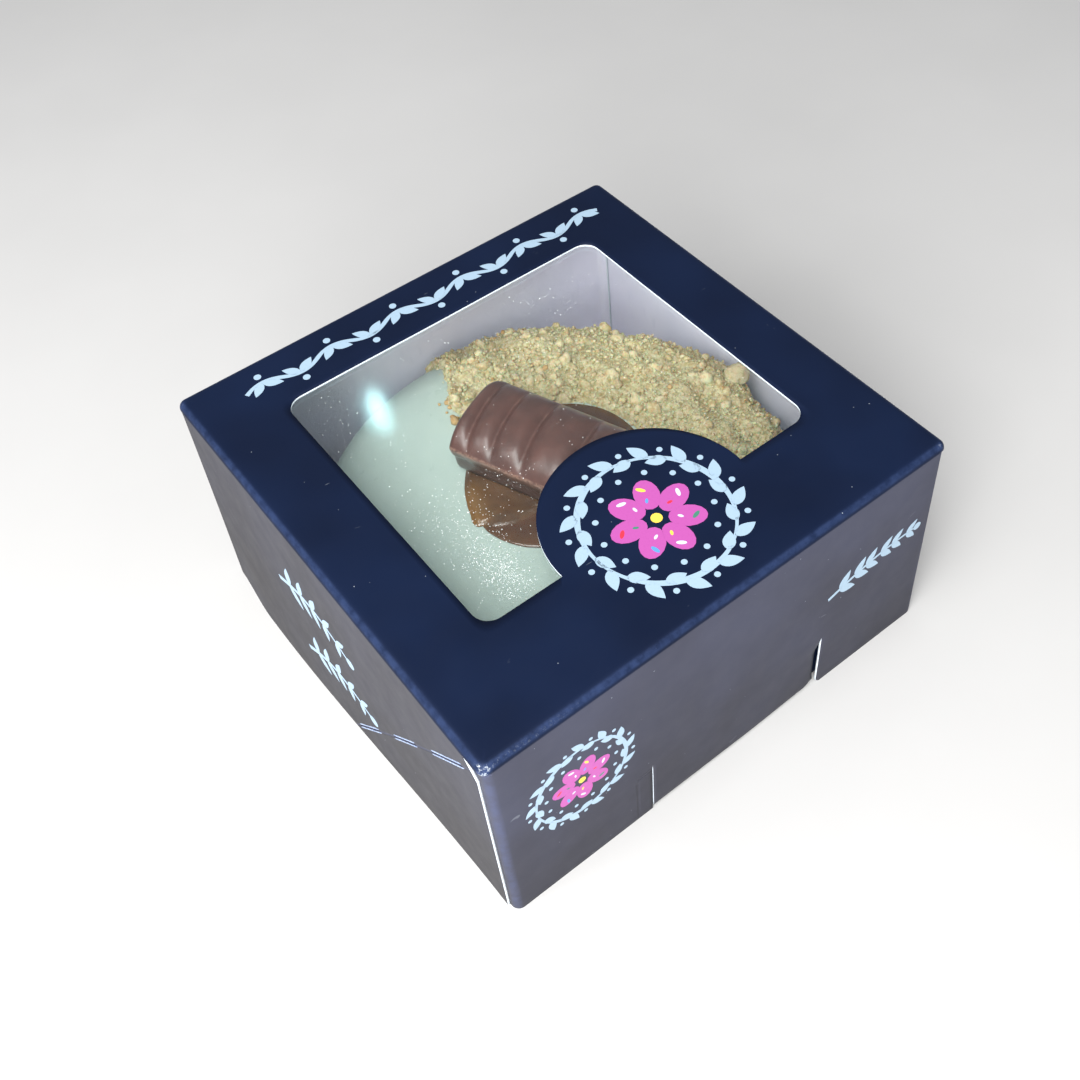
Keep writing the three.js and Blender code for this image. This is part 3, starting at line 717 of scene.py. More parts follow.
def tuck_front(x):
    """Where the tuck flap stands: close behind the front wall, and deeper where the tongue pushes on it."""
    pushed = smooth_step(x, SLIT_RIGHT - 10, SLIT_RIGHT - 3) * smooth_step(x, SLIT_RIGHT + 16, SLIT_RIGHT + 5)
    return -HALF + CARD + TUCK_GAP + TUCK_DENT * pushed


print("tuck flap behind the front face:", round(tuck_front(0) + HALF, 2), "mm")

# %% Base panel
def base_panel(sheet):
    side_end = HALF - 2 * CARD - TUCK_GAP
    across = np.linspace(-side_end, side_end, 55)
    depth = FLAT - FOLD - tuck_front(across)
    shares = np.linspace(0, 1, 55)
    sheet.add([[(x, FLAT - share * d, 0) for x, d in zip(across, depth)] for share in shares], (0, 0, -1))
    back_out = FLAT + FOLD * np.sin(FOLD_TURNS)
    rise = FOLD - FOLD * np.cos(FOLD_TURNS)
    narrowed = np.minimum(side_end, WALL_END - 0.1 + FOLD * np.cos(FOLD_TURNS)) / side_end
    sheet.add([[(x * n, y, z) for x in across] for n, y, z in zip(narrowed, back_out, rise)], (0, 1, -1))
    flap = np.linspace(-TUCK_HALF, TUCK_HALF, 51)
    back_set = FOLD - FOLD * np.sin(FOLD_TURNS)
    sheet.add([[(x, tuck_front(x) + b, z) for x in flap] for b, z in zip(back_set, rise)], (0, -1, -1))
    rows = []
    for z in np.linspace(FOLD, TUCK_TOP, 10):
        half = TUCK_HALF - max(z - (TUCK_TOP - TUCK_CORNER), 0)
        rows.append([(x * half / TUCK_HALF, tuck_front(x), z) for x in flap])
    sheet.add(rows, (0, -1, 0))


# %% [markdown]
# ## Hand-folded, not machined
#
# A real carton is never flat: the lid sags a little, and the left wall stands out at its lower back
# edge, because only the front is locked. One bending function moves every point of the skin, and the
# prints that lie on it, so that nothing comes apart. The wear and painted sheen on the folds are worked
# out from the same points.

# %% Bending
LEFT_BULGE, RIGHT_BULGE = 2.6, 0.7  # how far the side walls stand out at their lower edges
LID_SAG, FRONT_BELLY = 0.12, 0.35  # how far the lid waves, and how far the front wall bows out


def bend(points):
    """Moves points of the carton as the handled board bends."""
    bent = np.array(points, float)
    x, y, z = bent.T.copy()
    along = smooth_step(y, -HALF, 30) * (1 - 0.5 * smooth_step(y, 36, HALF))
    low = np.clip(1 - z / FOLD_HEIGHT, 0, 1) ** 1.2
    left = np.clip(-x / HALF, 0, 1) ** 8
    right = np.clip(x / HALF, 0, 1) ** 8
    across_y = np.clip(1 - (y / HALF) ** 2, 0, 1)
    bent[:, 0] += -LEFT_BULGE * along * low * left + RIGHT_BULGE * across_y * low * right
    inside = np.clip(1 - np.maximum(abs(x), abs(y)) / FLAT, 0, 1)
    lid = (z > TOP - 0.01) * smooth_step(inside, 0, 0.12)
    bent[:, 2] += lid * LID_SAG * uneven(points, 22, 3)
    front = np.clip(-y / HALF, 0, 1) ** 12 * np.clip(1 - (x / FLAT) ** 2, 0, 1)
    level = z / FOLD_HEIGHT
    bent[:, 1] += -front * np.clip(level * (1 - level) * 4, 0, 1) * FRONT_BELLY * (z < FOLD_HEIGHT)
    return bent


print("left wall's foot, half-way back:", np.round(bend([(-HALF, 0, 0)])[0], 2), "mm")

# %% Wear and painted sheen on the folds
def fold_wear_and_sheen(points):
    """Wear and painted fold sheen: 0 on a flat panel, 0.4 to 0.5 along a fold, up to 1 at the corner the
    hands hold.
    """
    x, y, z = np.abs(points).T
    reach = np.sort(np.stack([HALF - x, HALF - y, TOP - z]), axis=0)
    near_fold = smooth_step(reach[0] + reach[1], 1.45, 1.1)
    corner = smooth_step(reach.sum(axis=0), 4.4, 2.4)
    handled = smooth_step(-points[:, 0], 0, HALF) * smooth_step(-points[:, 1], HALF - 4, HALF)
    lock_corner = smooth_step(np.linalg.norm(points - (-HALF, -HALF, TOP), axis=1), 2.7, 1.1)
    # The pale band on the upright corners is painted highlight on the rounded fold.
    upright = 0.4 * smooth_step(HALF - x + HALF - y, 2.4, 1.2)
    fold = np.maximum(near_fold * (0.4 + 0.11 * handled), upright)
    return np.clip(fold + corner * 0.15 + lock_corner * 0.42, 0, 1)


# %% [markdown]
# ## Welding the carton
#
# All panels are now one heap of grids. Joining the points that lie together turns them into one sheet,
# the bend is laid over it, and the Solidify modifier gives it the thickness of the board.

# %% Points of a mesh
def mesh_points(piece):
    """All points of a piece in millimetres."""
    flat = np.empty(len(piece.data.vertices) * 3)
    piece.data.vertices.foreach_get("co", flat)
    return flat.reshape(-1, 3) / MM


print("wear in the middle of the front fold:", fold_wear_and_sheen(np.array([(0, -HALF, TOP)])).round(2))

# %% Carton
def make_carton():
    sheet = Sheet()
    lid_panel(sheet)
    top_folds(sheet)
    top_corners(sheet)
    wall_with_flaps(sheet, -1, FRONT_STOPS, FRONT_FLAP)
    wall_with_flaps(sheet, 1, BACK_STOPS, BACK_FLAP)
    cut_wall(sheet)
    side_wall(sheet, -1)
    side_wall(sheet, 1)
    base_panel(sheet)
    carton = make_mesh("carton_board", sheet.points, sheet.faces, BOARD)
    modify(carton, "WELD", merge_threshold=0.01 * MM)
    bpy.context.view_layer.objects.active = carton
    bpy.ops.object.modifier_apply(modifier="weld")
    points = mesh_points(carton)
    store_values(carton, "wear_and_sheen", fold_wear_and_sheen(points))
    carton.data.vertices.foreach_set("co", (bend(points) * MM).ravel())
    modify(carton, "SOLIDIFY", thickness=CARD * MM, offset=-1, material_offset=1, material_offset_rim=2)
    settle(carton, "board", "carton")


make_carton()

# %% [markdown]
# ## Lock tab
#
# In the open slit a strip of the tab behind the wall can be seen, and its dark navy is painted shade that
# stands for the deep gap. It is a small sheet of its own, set a little deeper than the wall, with its ends
# cut round.

# %% Lock tab in the open slit
def tab_painted_shade():
    recipe = Recipe("tab_painted_shade", Specular_IOR_Level=0.2)
    # Painted shade: the tab's dark navy stands for the shade in the deep open slit.
    recipe.colour(recipe.blend(recipe.noise(3.0, 3.0), INK, INK_LIGHT))
    recipe.roughness(recipe.noise(2.0), 0.5, 0.65)
    recipe.bump(recipe.noise(0.35, 4.0), 0.014)
    return recipe.material


def make_tab():
    """The strip of card seen in the open slit, behind the tongue; its dark navy is painted shade."""
    low, high, left, right, depth = 1.0, 15.4, SLIT_RIGHT - 3.6, SLIT_RIGHT + 4.6, 2.1
    rows, columns = 17, 9
    levels = np.linspace(low, high, rows)
    narrowed = 1.5 * np.clip(np.abs(levels - 9) / 6.4, 0, 1) ** 4
    points = []
    for z, cut in zip(levels, narrowed):
        points += [(x, -HALF + depth, z) for x in np.linspace(left + cut, right - cut, columns)]
    tab = make_mesh("lock_tab", points, grid_faces(rows, columns), [tab_painted_shade()])
    modify(tab, "SOLIDIFY", thickness=0.4 * MM, offset=0)
    settle(tab, "board")


make_tab()

# %% [markdown]
# ## Window film
#
# The film is a clear sheet glued behind the lid. It is never quite flat, and that is what bends the
# lamp's glare on it. Real film mirrors more the flatter one looks at it. So the film is a mix of nothing
# at all and a mirror, and the mirror's share is a few hundredths plus the fifth power of how far the
# face turns away.

# %% Face of the film
FILM_LOW, FILM_HIGH = [np.array(corner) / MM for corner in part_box("window_film")]


def film_face(places):
    """Height of the film's wavy face at places given as points at its flat height."""
    return FILM_HIGH[2] + 0.05 * uneven(places, 24, 5) - 0.02


# %% Clear film
def clear_film():
    recipe = Recipe("clear_film")
    tree = recipe.tree
    tree.nodes.remove(recipe.shader)
    haze = recipe.span(recipe.noise(12.0, 4.0, 0.6), 0.35, 0.75, 0.03, 0.05)
    grain = add_node(tree, "Bump", {}, {"Height": recipe.noise(0.45, 3.0), "Distance": 0.0015 * MM})
    gloss = add_node(tree, "BsdfPrincipled", {}, {
        "Base Color": shade(215, 245, 248),
        "Roughness": 0.08,
        "Metallic": 1.0,
        "Normal": grain.outputs[0],
    })
    see_through = add_node(tree, "BsdfTransparent", {}, {"Color": (0.97, 0.985, 0.98, 1)})
    facing = add_node(tree, "LayerWeight", {}, {"Blend": 0.5}).outputs["Facing"]
    share = recipe.maths("ADD", recipe.maths("POWER", facing, 5.0), haze)
    mix = add_node(tree, "MixShader", {}, {0: share, 1: see_through.outputs[0], 2: gloss.outputs[0]})
    tree.links.new(mix.outputs[0], tree.nodes["Material Output"].inputs["Surface"])
    return recipe.material


# %% Film
def make_film():
    rows = 60
    side = np.linspace(0, 1, rows)
    x = FILM_LOW[0] + (FILM_HIGH[0] - FILM_LOW[0]) * side
    y = FILM_LOW[1] + (FILM_HIGH[1] - FILM_LOW[1]) * side
    flat = np.array([(a, b, FILM_HIGH[2]) for b in y for a in x])
    flat[:, 2] = film_face(flat)
    film = make_mesh("film", flat, grid_faces(rows, rows), [clear_film()])
    modify(film, "SOLIDIFY", thickness=0.05 * MM, offset=-1)
    settle(film, "film", "window_film")


make_film()

# %% [markdown]
# ## The doughnut's body and its icing
#
# A filled doughnut is a squashed ball. Its outline is a superellipse turned round its axis: a curve
# between an ellipse and a rectangle, which gives the full shoulder and the flat top. The dough browns
# where it touched the hot fat and stays pale in a band round its waist, so the colour follows the
# height. The icing is the same curve, a little larger, that ends in an uneven rim.

# %% Round bodies
def shoulder_point(turn, grown=0.0):
    """Radius and height on the doughnut's upper half; turn is 0 at the waist and pi/2 on the axis."""
    out = (ICING_RADIUS + grown) * math.cos(turn) ** (2 / SHOULDER)
    return max(out, 0.0), WAIST + (CREST - WAIST + grown) * math.sin(turn) ** (2 / SHOULDER)


def outline_wobble(angle):
    """How far the outline stands out or in at an angle, in millimetres."""
    return 0.35 * (np.sin(2 * angle + 0.6) + 0.6 * np.sin(3 * angle + 2.1) + 0.4 * np.sin(5 * angle))


def directions(count):
    """Angles all round, without the first one again at the end."""
    return np.linspace(0, 2 * np.pi, count, endpoint=False)


def turned(profile, segments):
    """Points of a profile turned round the doughnut's axis, with the doughnut's own wobble."""
    angles = directions(segments)
    rows = []
    for out, height in profile:
        reach = out * (1 + outline_wobble(angles) / ICING_RADIUS)
        x = DOUGHNUT_MIDDLE[0] + reach * np.cos(angles)
        y = DOUGHNUT_MIDDLE[1] + reach * np.sin(angles)
        rows.append(np.stack([x, y, np.full(segments, height)], axis=1))
    return np.concatenate(rows)


def icing_height(x, y):
    """Height of the icing's face above a place."""
    share = np.hypot(x - DOUGHNUT_MIDDLE[0], y - DOUGHNUT_MIDDLE[1]) / ICING_RADIUS
    rise = np.clip(1 - np.clip(share, 0, 1) ** SHOULDER, 0, 1) ** (1 / SHOULDER)
    return WAIST + (CREST - WAIST) * rise


print("icing over the middle:", icing_height(*DOUGHNUT_MIDDLE), "mm up")


# %% Browned dough
def browned_dough():
    recipe = Recipe("browned_dough", Subsurface_Weight=0.15, Subsurface_Scale=0.002)
    patch = recipe.noise(7.0, 4.0, 0.6)
    level = recipe.maths("ADD", recipe.z, recipe.span(patch, 0.3, 0.7, -1.5, 1.5))
    band = recipe.span(recipe.maths("ABSOLUTE", recipe.maths("SUBTRACT", level, WAIST - 3.0)), 1.0, 4.2)
    crust = recipe.blend(recipe.span(patch, 0.35, 0.65), shade(150, 92, 44), shade(181, 120, 62))
    recipe.colour(recipe.blend(band, shade(222, 188, 128), crust))
    recipe.roughness(recipe.noise(1.2), 0.42, 0.62)
    recipe.bump(recipe.noise(0.8, 4.0, 0.6), 0.12)
    recipe.bump(recipe.noise(3.0), 0.3, 0.5)
    return recipe.material


# %% Dough
def make_dough():
    foot, inset, belly_depth, belly_power, segments = 0.8, -2.1, 22.5, 2.5, 128
    profile = [(0.01, foot)]
    for turn in np.linspace(np.pi / 2, 0, 26)[1:]:
        out = (ICING_RADIUS + inset) * math.cos(turn) ** (2 / belly_power)
        height = WAIST - belly_depth * math.sin(turn) ** (2 / belly_power)
        if height > foot:
            profile.append((out, height))
    profile += [shoulder_point(turn, inset) for turn in np.linspace(0.04, np.pi / 2 - 0.01, 26)]
    points = turned(profile, segments)
    fade = smooth_step(points[:, 2], foot, 5) * smooth_step(points[:, 2], WAIST + 8, WAIST)
    points[:, :2] -= DOUGHNUT_MIDDLE
    points[:, :2] *= (1 + 0.006 * fade * uneven(points, 6, 2) + 0.003 * fade * uneven(points, 2, 4))[:, None]
    points[:, :2] += DOUGHNUT_MIDDLE
    faces = grid_faces(len(profile), segments, closed=True) + end_faces(points, segments)
    body = make_mesh("dough_body", points, faces, [browned_dough()])
    settle(body, "dough", "doughnut")


make_dough()

# %% [markdown]
# ## Icing
#
# Fondant icing runs smooth and sets with a satin skin. What gives it away as icing, and not plastic, is
# that light goes a little way into it, that its surface is very slightly rippled, and that its rim is
# thick and uneven where it ran and stopped. All three are here: some subsurface scattering, long soft
# ripples in the mesh, and a rim that rises and falls.

# %% White icing
def white_icing():
    recipe = Recipe("white_icing", Subsurface_Weight=0.25, Subsurface_Scale=0.0025, Specular_IOR_Level=0.45)
    recipe.shader.inputs["Subsurface Radius"].default_value = (1.0, 0.9, 0.75)
    cloud = recipe.noise(14.0, 3.0)
    recipe.colour(recipe.blend(recipe.span(cloud, 0.3, 0.7), shade(188, 204, 195), shade(195, 210, 201)))
    recipe.roughness(recipe.noise(4.0, 4.0), 0.27, 0.4)
    recipe.bump(recipe.noise(0.7, 4.0), 0.015)
    recipe.bump(recipe.noise(6.0, 2.0), 0.12)
    return recipe.material


# %% Icing
def make_icing():
    segments, thickness = 160, 1.8
    angles = directions(segments)
    outside = [shoulder_point(turn) for turn in np.linspace(0, np.pi / 2 - 0.004, 64)]
    inside = [shoulder_point(turn, -thickness) for turn in np.linspace(np.pi / 2 - 0.004, 0, 24)]
    drop = [(-1.9, -3.2), (-1.6, -4.1), (-0.8, -4.5), (-0.15, -3.9), (0.02, -2.4)]
    rim = [(ICING_RADIUS + out, WAIST + up) for out, up in drop]
    profile = inside + rim + outside
    points = turned(profile, segments)
    spread = uneven(np.stack([22 * np.cos(angles), 22 * np.sin(angles), 0 * angles], axis=1), 7, 6)
    below = smooth_step(points[:, 2], WAIST + 1, WAIST - 4)
    points[:, 2] += below * np.tile(1.3 * spread, len(profile))
    is_face = np.arange(len(points)) >= len(inside) * segments
    ripple = 0.16 * uneven(points, 15, 8) + 0.05 * uneven(points, 5, 9)
    points[:, 2] += ripple * is_face * smooth_step(points[:, 2], WAIST, WAIST + 8) - 0.1 * is_face
    faces = grid_faces(len(profile), segments, closed=True) + end_faces(points, segments)
    settle(make_mesh("icing_coat", points, faces, [white_icing()]), "icing", "icing")


make_icing()

# %% [markdown]
# ## Caramel
#
# The caramel was piped in two rounds and sank into a pool. The last round lies on the first, and its
# rounded edge draws a bright line across the pool. Caramel is dark where it lies deep and amber where it
# thins out over white icing. Where it is thin is known when the mesh is made, so it is stored on the
# points and drives the colour.

# %% Outline of the pool
POOL_TURNS, POOL_REACH = np.array([
    (-182.0, 20.9), (-177.5, 20.9), (-176.0, 19.9), (-171.0, 20.2), (-161.0, 20.2),
    (-146.0, 19.8), (-134.0, 19.3), (-110.0, 19.0), (-60.0, 18.6), (-1.0, 19.8),
    (14.0, 20.0), (26.0, 20.2), (41.0, 20.0), (52.0, 19.7), (90.0, 19.3),
    (120.0, 19.0), (145.0, 19.2), (162.0, 19.6), (173.0, 20.2), (178.0, 20.9),
]).T  # turns in degrees, and the pool's radius at each
UPPER_LOBE = np.array([-10.5, 4.7])  # middle of the last round of caramel, which lies on the first
UPPER_RADIUS = 12.0
DIMPLE = np.array([-14.5, -0.5])  # a shallow dent where the nozzle was lifted off


def pool_edge(angle):
    """Radius of the pool: it bulges at the left, where the upper round ends over the lower one."""
    degrees = (np.degrees(angle) + 182) % 360 - 182
    return np.interp(degrees, POOL_TURNS, POOL_REACH, period=360) * (1 + 0.003 * np.sin(7 * angle))


print("pool's radius to the right and to the left:", np.round(pool_edge(np.array([0, np.pi])), 1), "mm")

# %% Caramel
def caramel():
    recipe = Recipe("caramel", Specular_IOR_Level=0.5, Coat_Weight=0.55, Coat_Roughness=0.07)
    recipe.shader.inputs["Subsurface Weight"].default_value = 0.12
    recipe.shader.inputs["Subsurface Scale"].default_value = 0.0015
    cloud = recipe.span(recipe.noise(5.0, 3.0), 0.35, 0.65)
    first_round = recipe.blend(cloud, shade(80, 51, 35), shade(93, 61, 42))
    last_round = recipe.blend(cloud, shade(78, 54, 37), shade(100, 70, 46))
    deep = recipe.blend(recipe.attribute("upper"), first_round, last_round)
    recipe.colour(recipe.blend(recipe.attribute("thin"), deep, shade(134, 95, 50)))
    recipe.roughness(recipe.noise(2.0), 0.12, 0.24)
    recipe.bump(recipe.noise(3.0, 1.5), 0.07)
    return recipe.material


# %% Caramel pool
def make_caramel():
    rings, segments = 72, 256
    angles = directions(segments)
    left_rim = smooth_step(np.degrees(angles), 140, 165) * smooth_step(np.degrees(angles), 191, 178)
    shares = np.sin(np.linspace(0.0, np.pi / 2, rings))[::-1]
    top, low, upper, thin = [], [], [], []
    for share in shares:
        out = pool_edge(angles) * max(share, 0.002)
        x = POOL_MIDDLE[0] + out * np.cos(angles)
        y = POOL_MIDDLE[1] + out * np.sin(angles)
        inside_upper = UPPER_RADIUS - np.hypot(x - UPPER_LOBE[0], y - UPPER_LOBE[1])
        step = np.sqrt(smooth_step(inside_upper, 0, 2.2))
        swell = (1 - share**2) ** 0.42
        dimple = 0.35 * np.exp(-((x - DIMPLE[0]) ** 2 + (y - DIMPLE[1]) ** 2) / 9)
        thick = 1.2 * swell + (0.6 * step - dimple) * smooth_step(share, 1.0, 0.93)
        under_bar = bar_floor(x, y, -1.2) - 0.25
        icing = icing_height(x, y)
        face = np.minimum(icing + 0.12 + thick, under_bar)
        top.append(np.stack([x, y, face], axis=1))
        low.append(np.stack([x, y, np.minimum(icing - 0.25, face - 0.05)], axis=1))
        upper.append(smooth_step(inside_upper, 0, 0.5))
        all_round = 0.12 * smooth_step(share, 0.84, 0.99)
        thin.append(np.maximum(all_round, left_rim * smooth_step(share, 0.68, 1.0)))
    points = np.concatenate(top + low[::-1])
    faces = grid_faces(2 * rings, segments, closed=True)
    last_row = segments * (2 * rings - 1)
    for here in range(segments):
        beside = (here + 1) % segments
        faces.append((last_row + here, here, beside, last_row + beside))
    pool = make_mesh("caramel_coil", points, faces, [caramel()])
    store_values(pool, "upper", np.concatenate(upper + upper[::-1]))
    store_values(pool, "thin", np.concatenate(thin + thin[::-1]))
    tidy_mesh(pool, 0.002)
    settle(pool, "caramel", "caramel_pool")


# %% [markdown]
# ## Chocolate bar
#
# A finger bar is coated on a belt: the air blows waves over its top, the coating gathers in a thin lip
# along its sides, and below the lip the side draws in. The bar is made lying along its own length, as a
# section that is swept and changed from place to place, and only then laid on the doughnut with its
# heading and its lean. The caramel flows under the bar, so the pool is made here, as soon as the bar's
# place is known.

# %% Bar shape
BAR_SEAMS = np.array([-2.0, 2.9, 8.6, 15.8, 26.2, 35.0, 43.4, 52.0])  # where the waves of the coating meet
BAR_TO_FRAME = (
    Matrix.Translation((BAR_END[0], BAR_END[1], BAR_BASE))
    @ Matrix.Rotation(BAR_HEADING - math.pi / 2, 4, "Z")
    @ Matrix.Rotation(BAR_LEAN, 4, "Y")
)


def bar_axes():
    """Directions along the bar and across it, seen from above."""
    along = np.array([math.cos(BAR_HEADING), math.sin(BAR_HEADING)])
    return along, np.array([along[1], -along[0]])


def bar_place(x, y):
    """How far along the bar, and across it, a place lies."""
    along, across = bar_axes()
    offset = np.stack([x - BAR_END[0], y - BAR_END[1]], axis=-1)
    return offset @ along, offset @ across


def bar_floor(x, y, margin=1.1):
    """Height of the bar's underside over a place, or far above where there is no bar within the margin."""
    reach, side = bar_place(x, y)
    under = (reach > -margin) & (reach < BAR_LENGTH + margin) & (np.abs(side) < BAR_WIDTH / 2 + margin)
    return np.where(under, BAR_BASE - side * math.sin(BAR_LEAN), 1e3)


def wave_height(along):
    """Waves on the bar's back: swells with a slight dip in the middle, and sharp seams between them."""
    number = np.clip(np.searchsorted(BAR_SEAMS, along) - 1, 0, len(BAR_SEAMS) - 2)
    low, high = BAR_SEAMS[number], BAR_SEAMS[number + 1]
    share = (along - low) / (high - low)
    swell = 1 - np.abs(2 * share - 1) ** 2.8
    dip = np.exp(-((share - 0.55) / 0.13) ** 2) * np.clip((high - low) / 8 - 0.5, 0, 1)
    return (1.0 + 0.1 * (high - low)) * swell - 0.1 * dip - 0.75


print("bar's underside:", round(BAR_BASE, 2), "mm up")
make_caramel()

# %% [markdown]
# ## The bar's section
#
# Walking round the section from under one side, up over the lip and the waved crown, and down the other
# side gives a ring of points. Rings along the length, pulled together a little at both ends, give the
# bar. Subdivision then rounds every edge, as melted chocolate does.

# %% Outline of the section
CROWN_SHARES = np.sin(np.linspace(-1, 1, 27) * math.pi / 2 * 0.94) / math.sin(math.pi / 2 * 0.94)
SIDE_SHAPE = [
    (0.86, 0.0), (0.92, 0.06), (0.93, 0.3), (0.925, 0.5),
    (0.94, 0.6), (0.99, 0.66), (1.0, 0.8), (1.03, 0.93),
]  # half-width and height shares, from the foot up to the lip
SIDE_RUBBED = [0.0] * 5 + [0.15, 0.15, 0.9]  # how worn the coating is along that shape
# Painted shade: the lower side shares get a darker brown, for the shade that falls under the lip.
SIDE_PAINTED_SHADE = [1.0] * 5 + [0.8, 0.5, 0.1]  # and how much darker it is there than on top
BAR_ROUND = 1.5  # length over which each end is pulled together
print("points round the bar:", len(CROWN_SHARES) + 2 * len(SIDE_SHAPE))


# %% Milk chocolate
def chocolate():
    recipe = Recipe("milk_chocolate", Specular_IOR_Level=0.5, Coat_Weight=0.65, Coat_Roughness=0.34)
    cloud = recipe.noise(4.0, 4.0, 0.6)
    base = recipe.blend(recipe.span(cloud, 0.35, 0.68), shade(84, 52, 45), shade(101, 64, 56))
    rubbed = recipe.times(recipe.attribute("rubbed"), recipe.span(recipe.noise(0.7, 4.0, 0.7), 0.38, 0.56))
    # Painted shade: a darker brown on the lower side of the bar, for the shade under its lip.
    painted_side_shade = recipe.blend(recipe.attribute("side"), base, shade(72, 46, 39))
    pale = recipe.blend(recipe.times(rubbed, 0.65), painted_side_shade, shade(178, 140, 122))
    points = recipe.span(recipe.cells(1.9), 0.07, 0.05)
    specks = recipe.times(points, recipe.span(recipe.noise(6.0), 0.52, 0.6))
    recipe.colour(recipe.blend(recipe.times(specks, 0.6), pale, shade(170, 138, 118)))
    recipe.roughness(recipe.noise(1.6, 4.0), 0.34, 0.44)
    recipe.bump(recipe.noise(0.5, 4.0, 0.6), 0.02)
    recipe.bump(recipe.noise(3.0, 2.0), 0.12)
    return recipe.material


# %% One section of the bar
def bar_ring(along):
    """A section of the bar, from under its right side over the crown, and how rubbed each point is."""
    half = BAR_WIDTH / 2
    away = min(along, BAR_LENGTH - along)
    pinch = 1 - 0.07 * (1 - min(away / BAR_ROUND, 1)) ** 2
    right_wobble = uneven([(along, 3.0, z * 9) for x, z in SIDE_SHAPE], 3.0, 4)
    left_wobble = uneven([(along, -3.0, z * 9) for x, z in SIDE_SHAPE], 3.0, 5)
    right, left = [], []
    for (x, z), right_swell, left_swell in zip(SIDE_SHAPE, right_wobble, left_wobble):
        out, up = x * half * pinch, z * BAR_SIDE * pinch
        right.append((out + 0.14 * right_swell * (up > 4), along, up + 0.12 * right_swell))
        left.append((-out + 0.14 * left_swell, along, up + 0.12 * left_swell))
    shares = CROWN_SHARES[::-1]
    across = shares * half
    wave = wave_height(along - 0.1 * across - 0.008 * across**2)
    crown = (BAR_CROWN + wave) * (1 - 0.62 * np.abs(shares) ** 5 - 0.38 * shares**2)
    top = [(x * pinch, along, (BAR_SIDE + height) * pinch) for x, height in zip(across, crown)]
    seam = np.clip((-0.6 - wave) / 0.12, 0, 1) * 0.22
    lip = 0.8 * (np.abs(shares) > 0.985)
    return right + top + left[::-1], SIDE_RUBBED + list(np.maximum(seam, lip)) + SIDE_RUBBED[::-1]


# %% Chocolate bar
def make_bar():
    far_end = BAR_LENGTH - BAR_ROUND
    first, middle = np.linspace(0, BAR_ROUND, 6), np.linspace(BAR_ROUND, far_end, 118)
    stops = np.unique(np.concatenate([first, middle, np.linspace(far_end, BAR_LENGTH, 6)]))
    rings, rubbed = zip(*[bar_ring(along) for along in stops])
    count = len(rings[0])
    points = np.array(rings).reshape(-1, 3)
    points[:, 2] += 0.06 * uneven(points, 2.2, 11) * (points[:, 2] > 1)
    faces = grid_faces(len(rings), count, closed=True) + end_faces(points, count)
    placed = np.array([BAR_TO_FRAME @ Vector(point) for point in points])
    bar = make_mesh("finger_bar", placed, faces, [chocolate()])
    store_values(bar, "rubbed", rubbed)
    # These side values paint shade on the bar's lower side.
    side_painted_shade = SIDE_PAINTED_SHADE + [0.0] * len(CROWN_SHARES) + SIDE_PAINTED_SHADE[::-1]
    store_values(bar, "side", np.tile(side_painted_shade, len(rings)))
    tidy_mesh(bar, 0.001)
    modify(bar, "SUBSURF", levels=1, render_levels=1)
    settle(bar, "chocolate", "chocolate_bar")


make_bar()

# %% [markdown]
# ## Crumbs, first the bed
#
# Crumbs pressed into icing make a bed, with loose grains on top. The bed is one shell over the
# doughnut's shoulder. Its height comes from three sizes of unevenness: clumps, crumbs and grit. Where
# the crumbs end, round the pool and along a ragged line over the icing, the bed dives under the icing's
# face, so that the border is drawn by the relief itself and not by a cut edge.

# %% Where the crumbs lie
CRUMB_EDGE = np.array([
    [-1, 70], [-0.6, 44], [-1.4, 38], [-4.4, 34.5], [-5.6, 30], [-6.6, 24],
    [-4, 10], [2, -8], [7, -28], [12, -44], [15, -70],
])[::-1]  # places along the border over the icing, from the front to the back
CRUMB_LOW = 25.0  # height where the crumbs end on the doughnut's shoulder


def crumb_depth(points):
    """How far inside the crumbed area a point lies, in millimetres; below 0 is outside."""
    x, y, z = np.asarray(points, float).T
    from_edge = x - np.interp(y, CRUMB_EDGE[:, 1], CRUMB_EDGE[:, 0])
    from_pool = np.hypot(x - POOL_MIDDLE[0], y - POOL_MIDDLE[1])
    from_pool -= pool_edge(np.arctan2(y - POOL_MIDDLE[1], x - POOL_MIDDLE[0])) - 0.1
    from_pool = np.where(z > WAIST + 12, from_pool, 99)
    from_base = (z - CRUMB_LOW) * 0.8
    ragged = 1.5 * uneven(points, 3.6, 12) + 0.7 * uneven(points, 1.3, 13)
    return np.minimum(np.minimum(from_edge, from_base) + ragged, from_pool + 0.3 * ragged)


def crumb_height(points):
    """Height of the bed over the icing's face."""
    clumps = 1.5 * uneven(points, 6.0, 14) + 0.8 * uneven(points, 3.0, 15)
    grit = 0.3 * uneven(points, 1.3, 16) + 0.18 * uneven(points, 0.75, 17)
    fade = 0.45 + 0.55 * smooth_step(points[:, 2], CRUMB_LOW, CRUMB_LOW + 12)
    full = (1.5 + clumps) * fade + grit
    inside = smooth_step(crumb_depth(points), -0.2, 1.6)
    return -0.9 + inside * (np.maximum(full, 0.2) + 0.9)


print("bed at the right of the pool:", crumb_height(np.array([[35.0, 0, CREST]])).round(2), "mm thick")


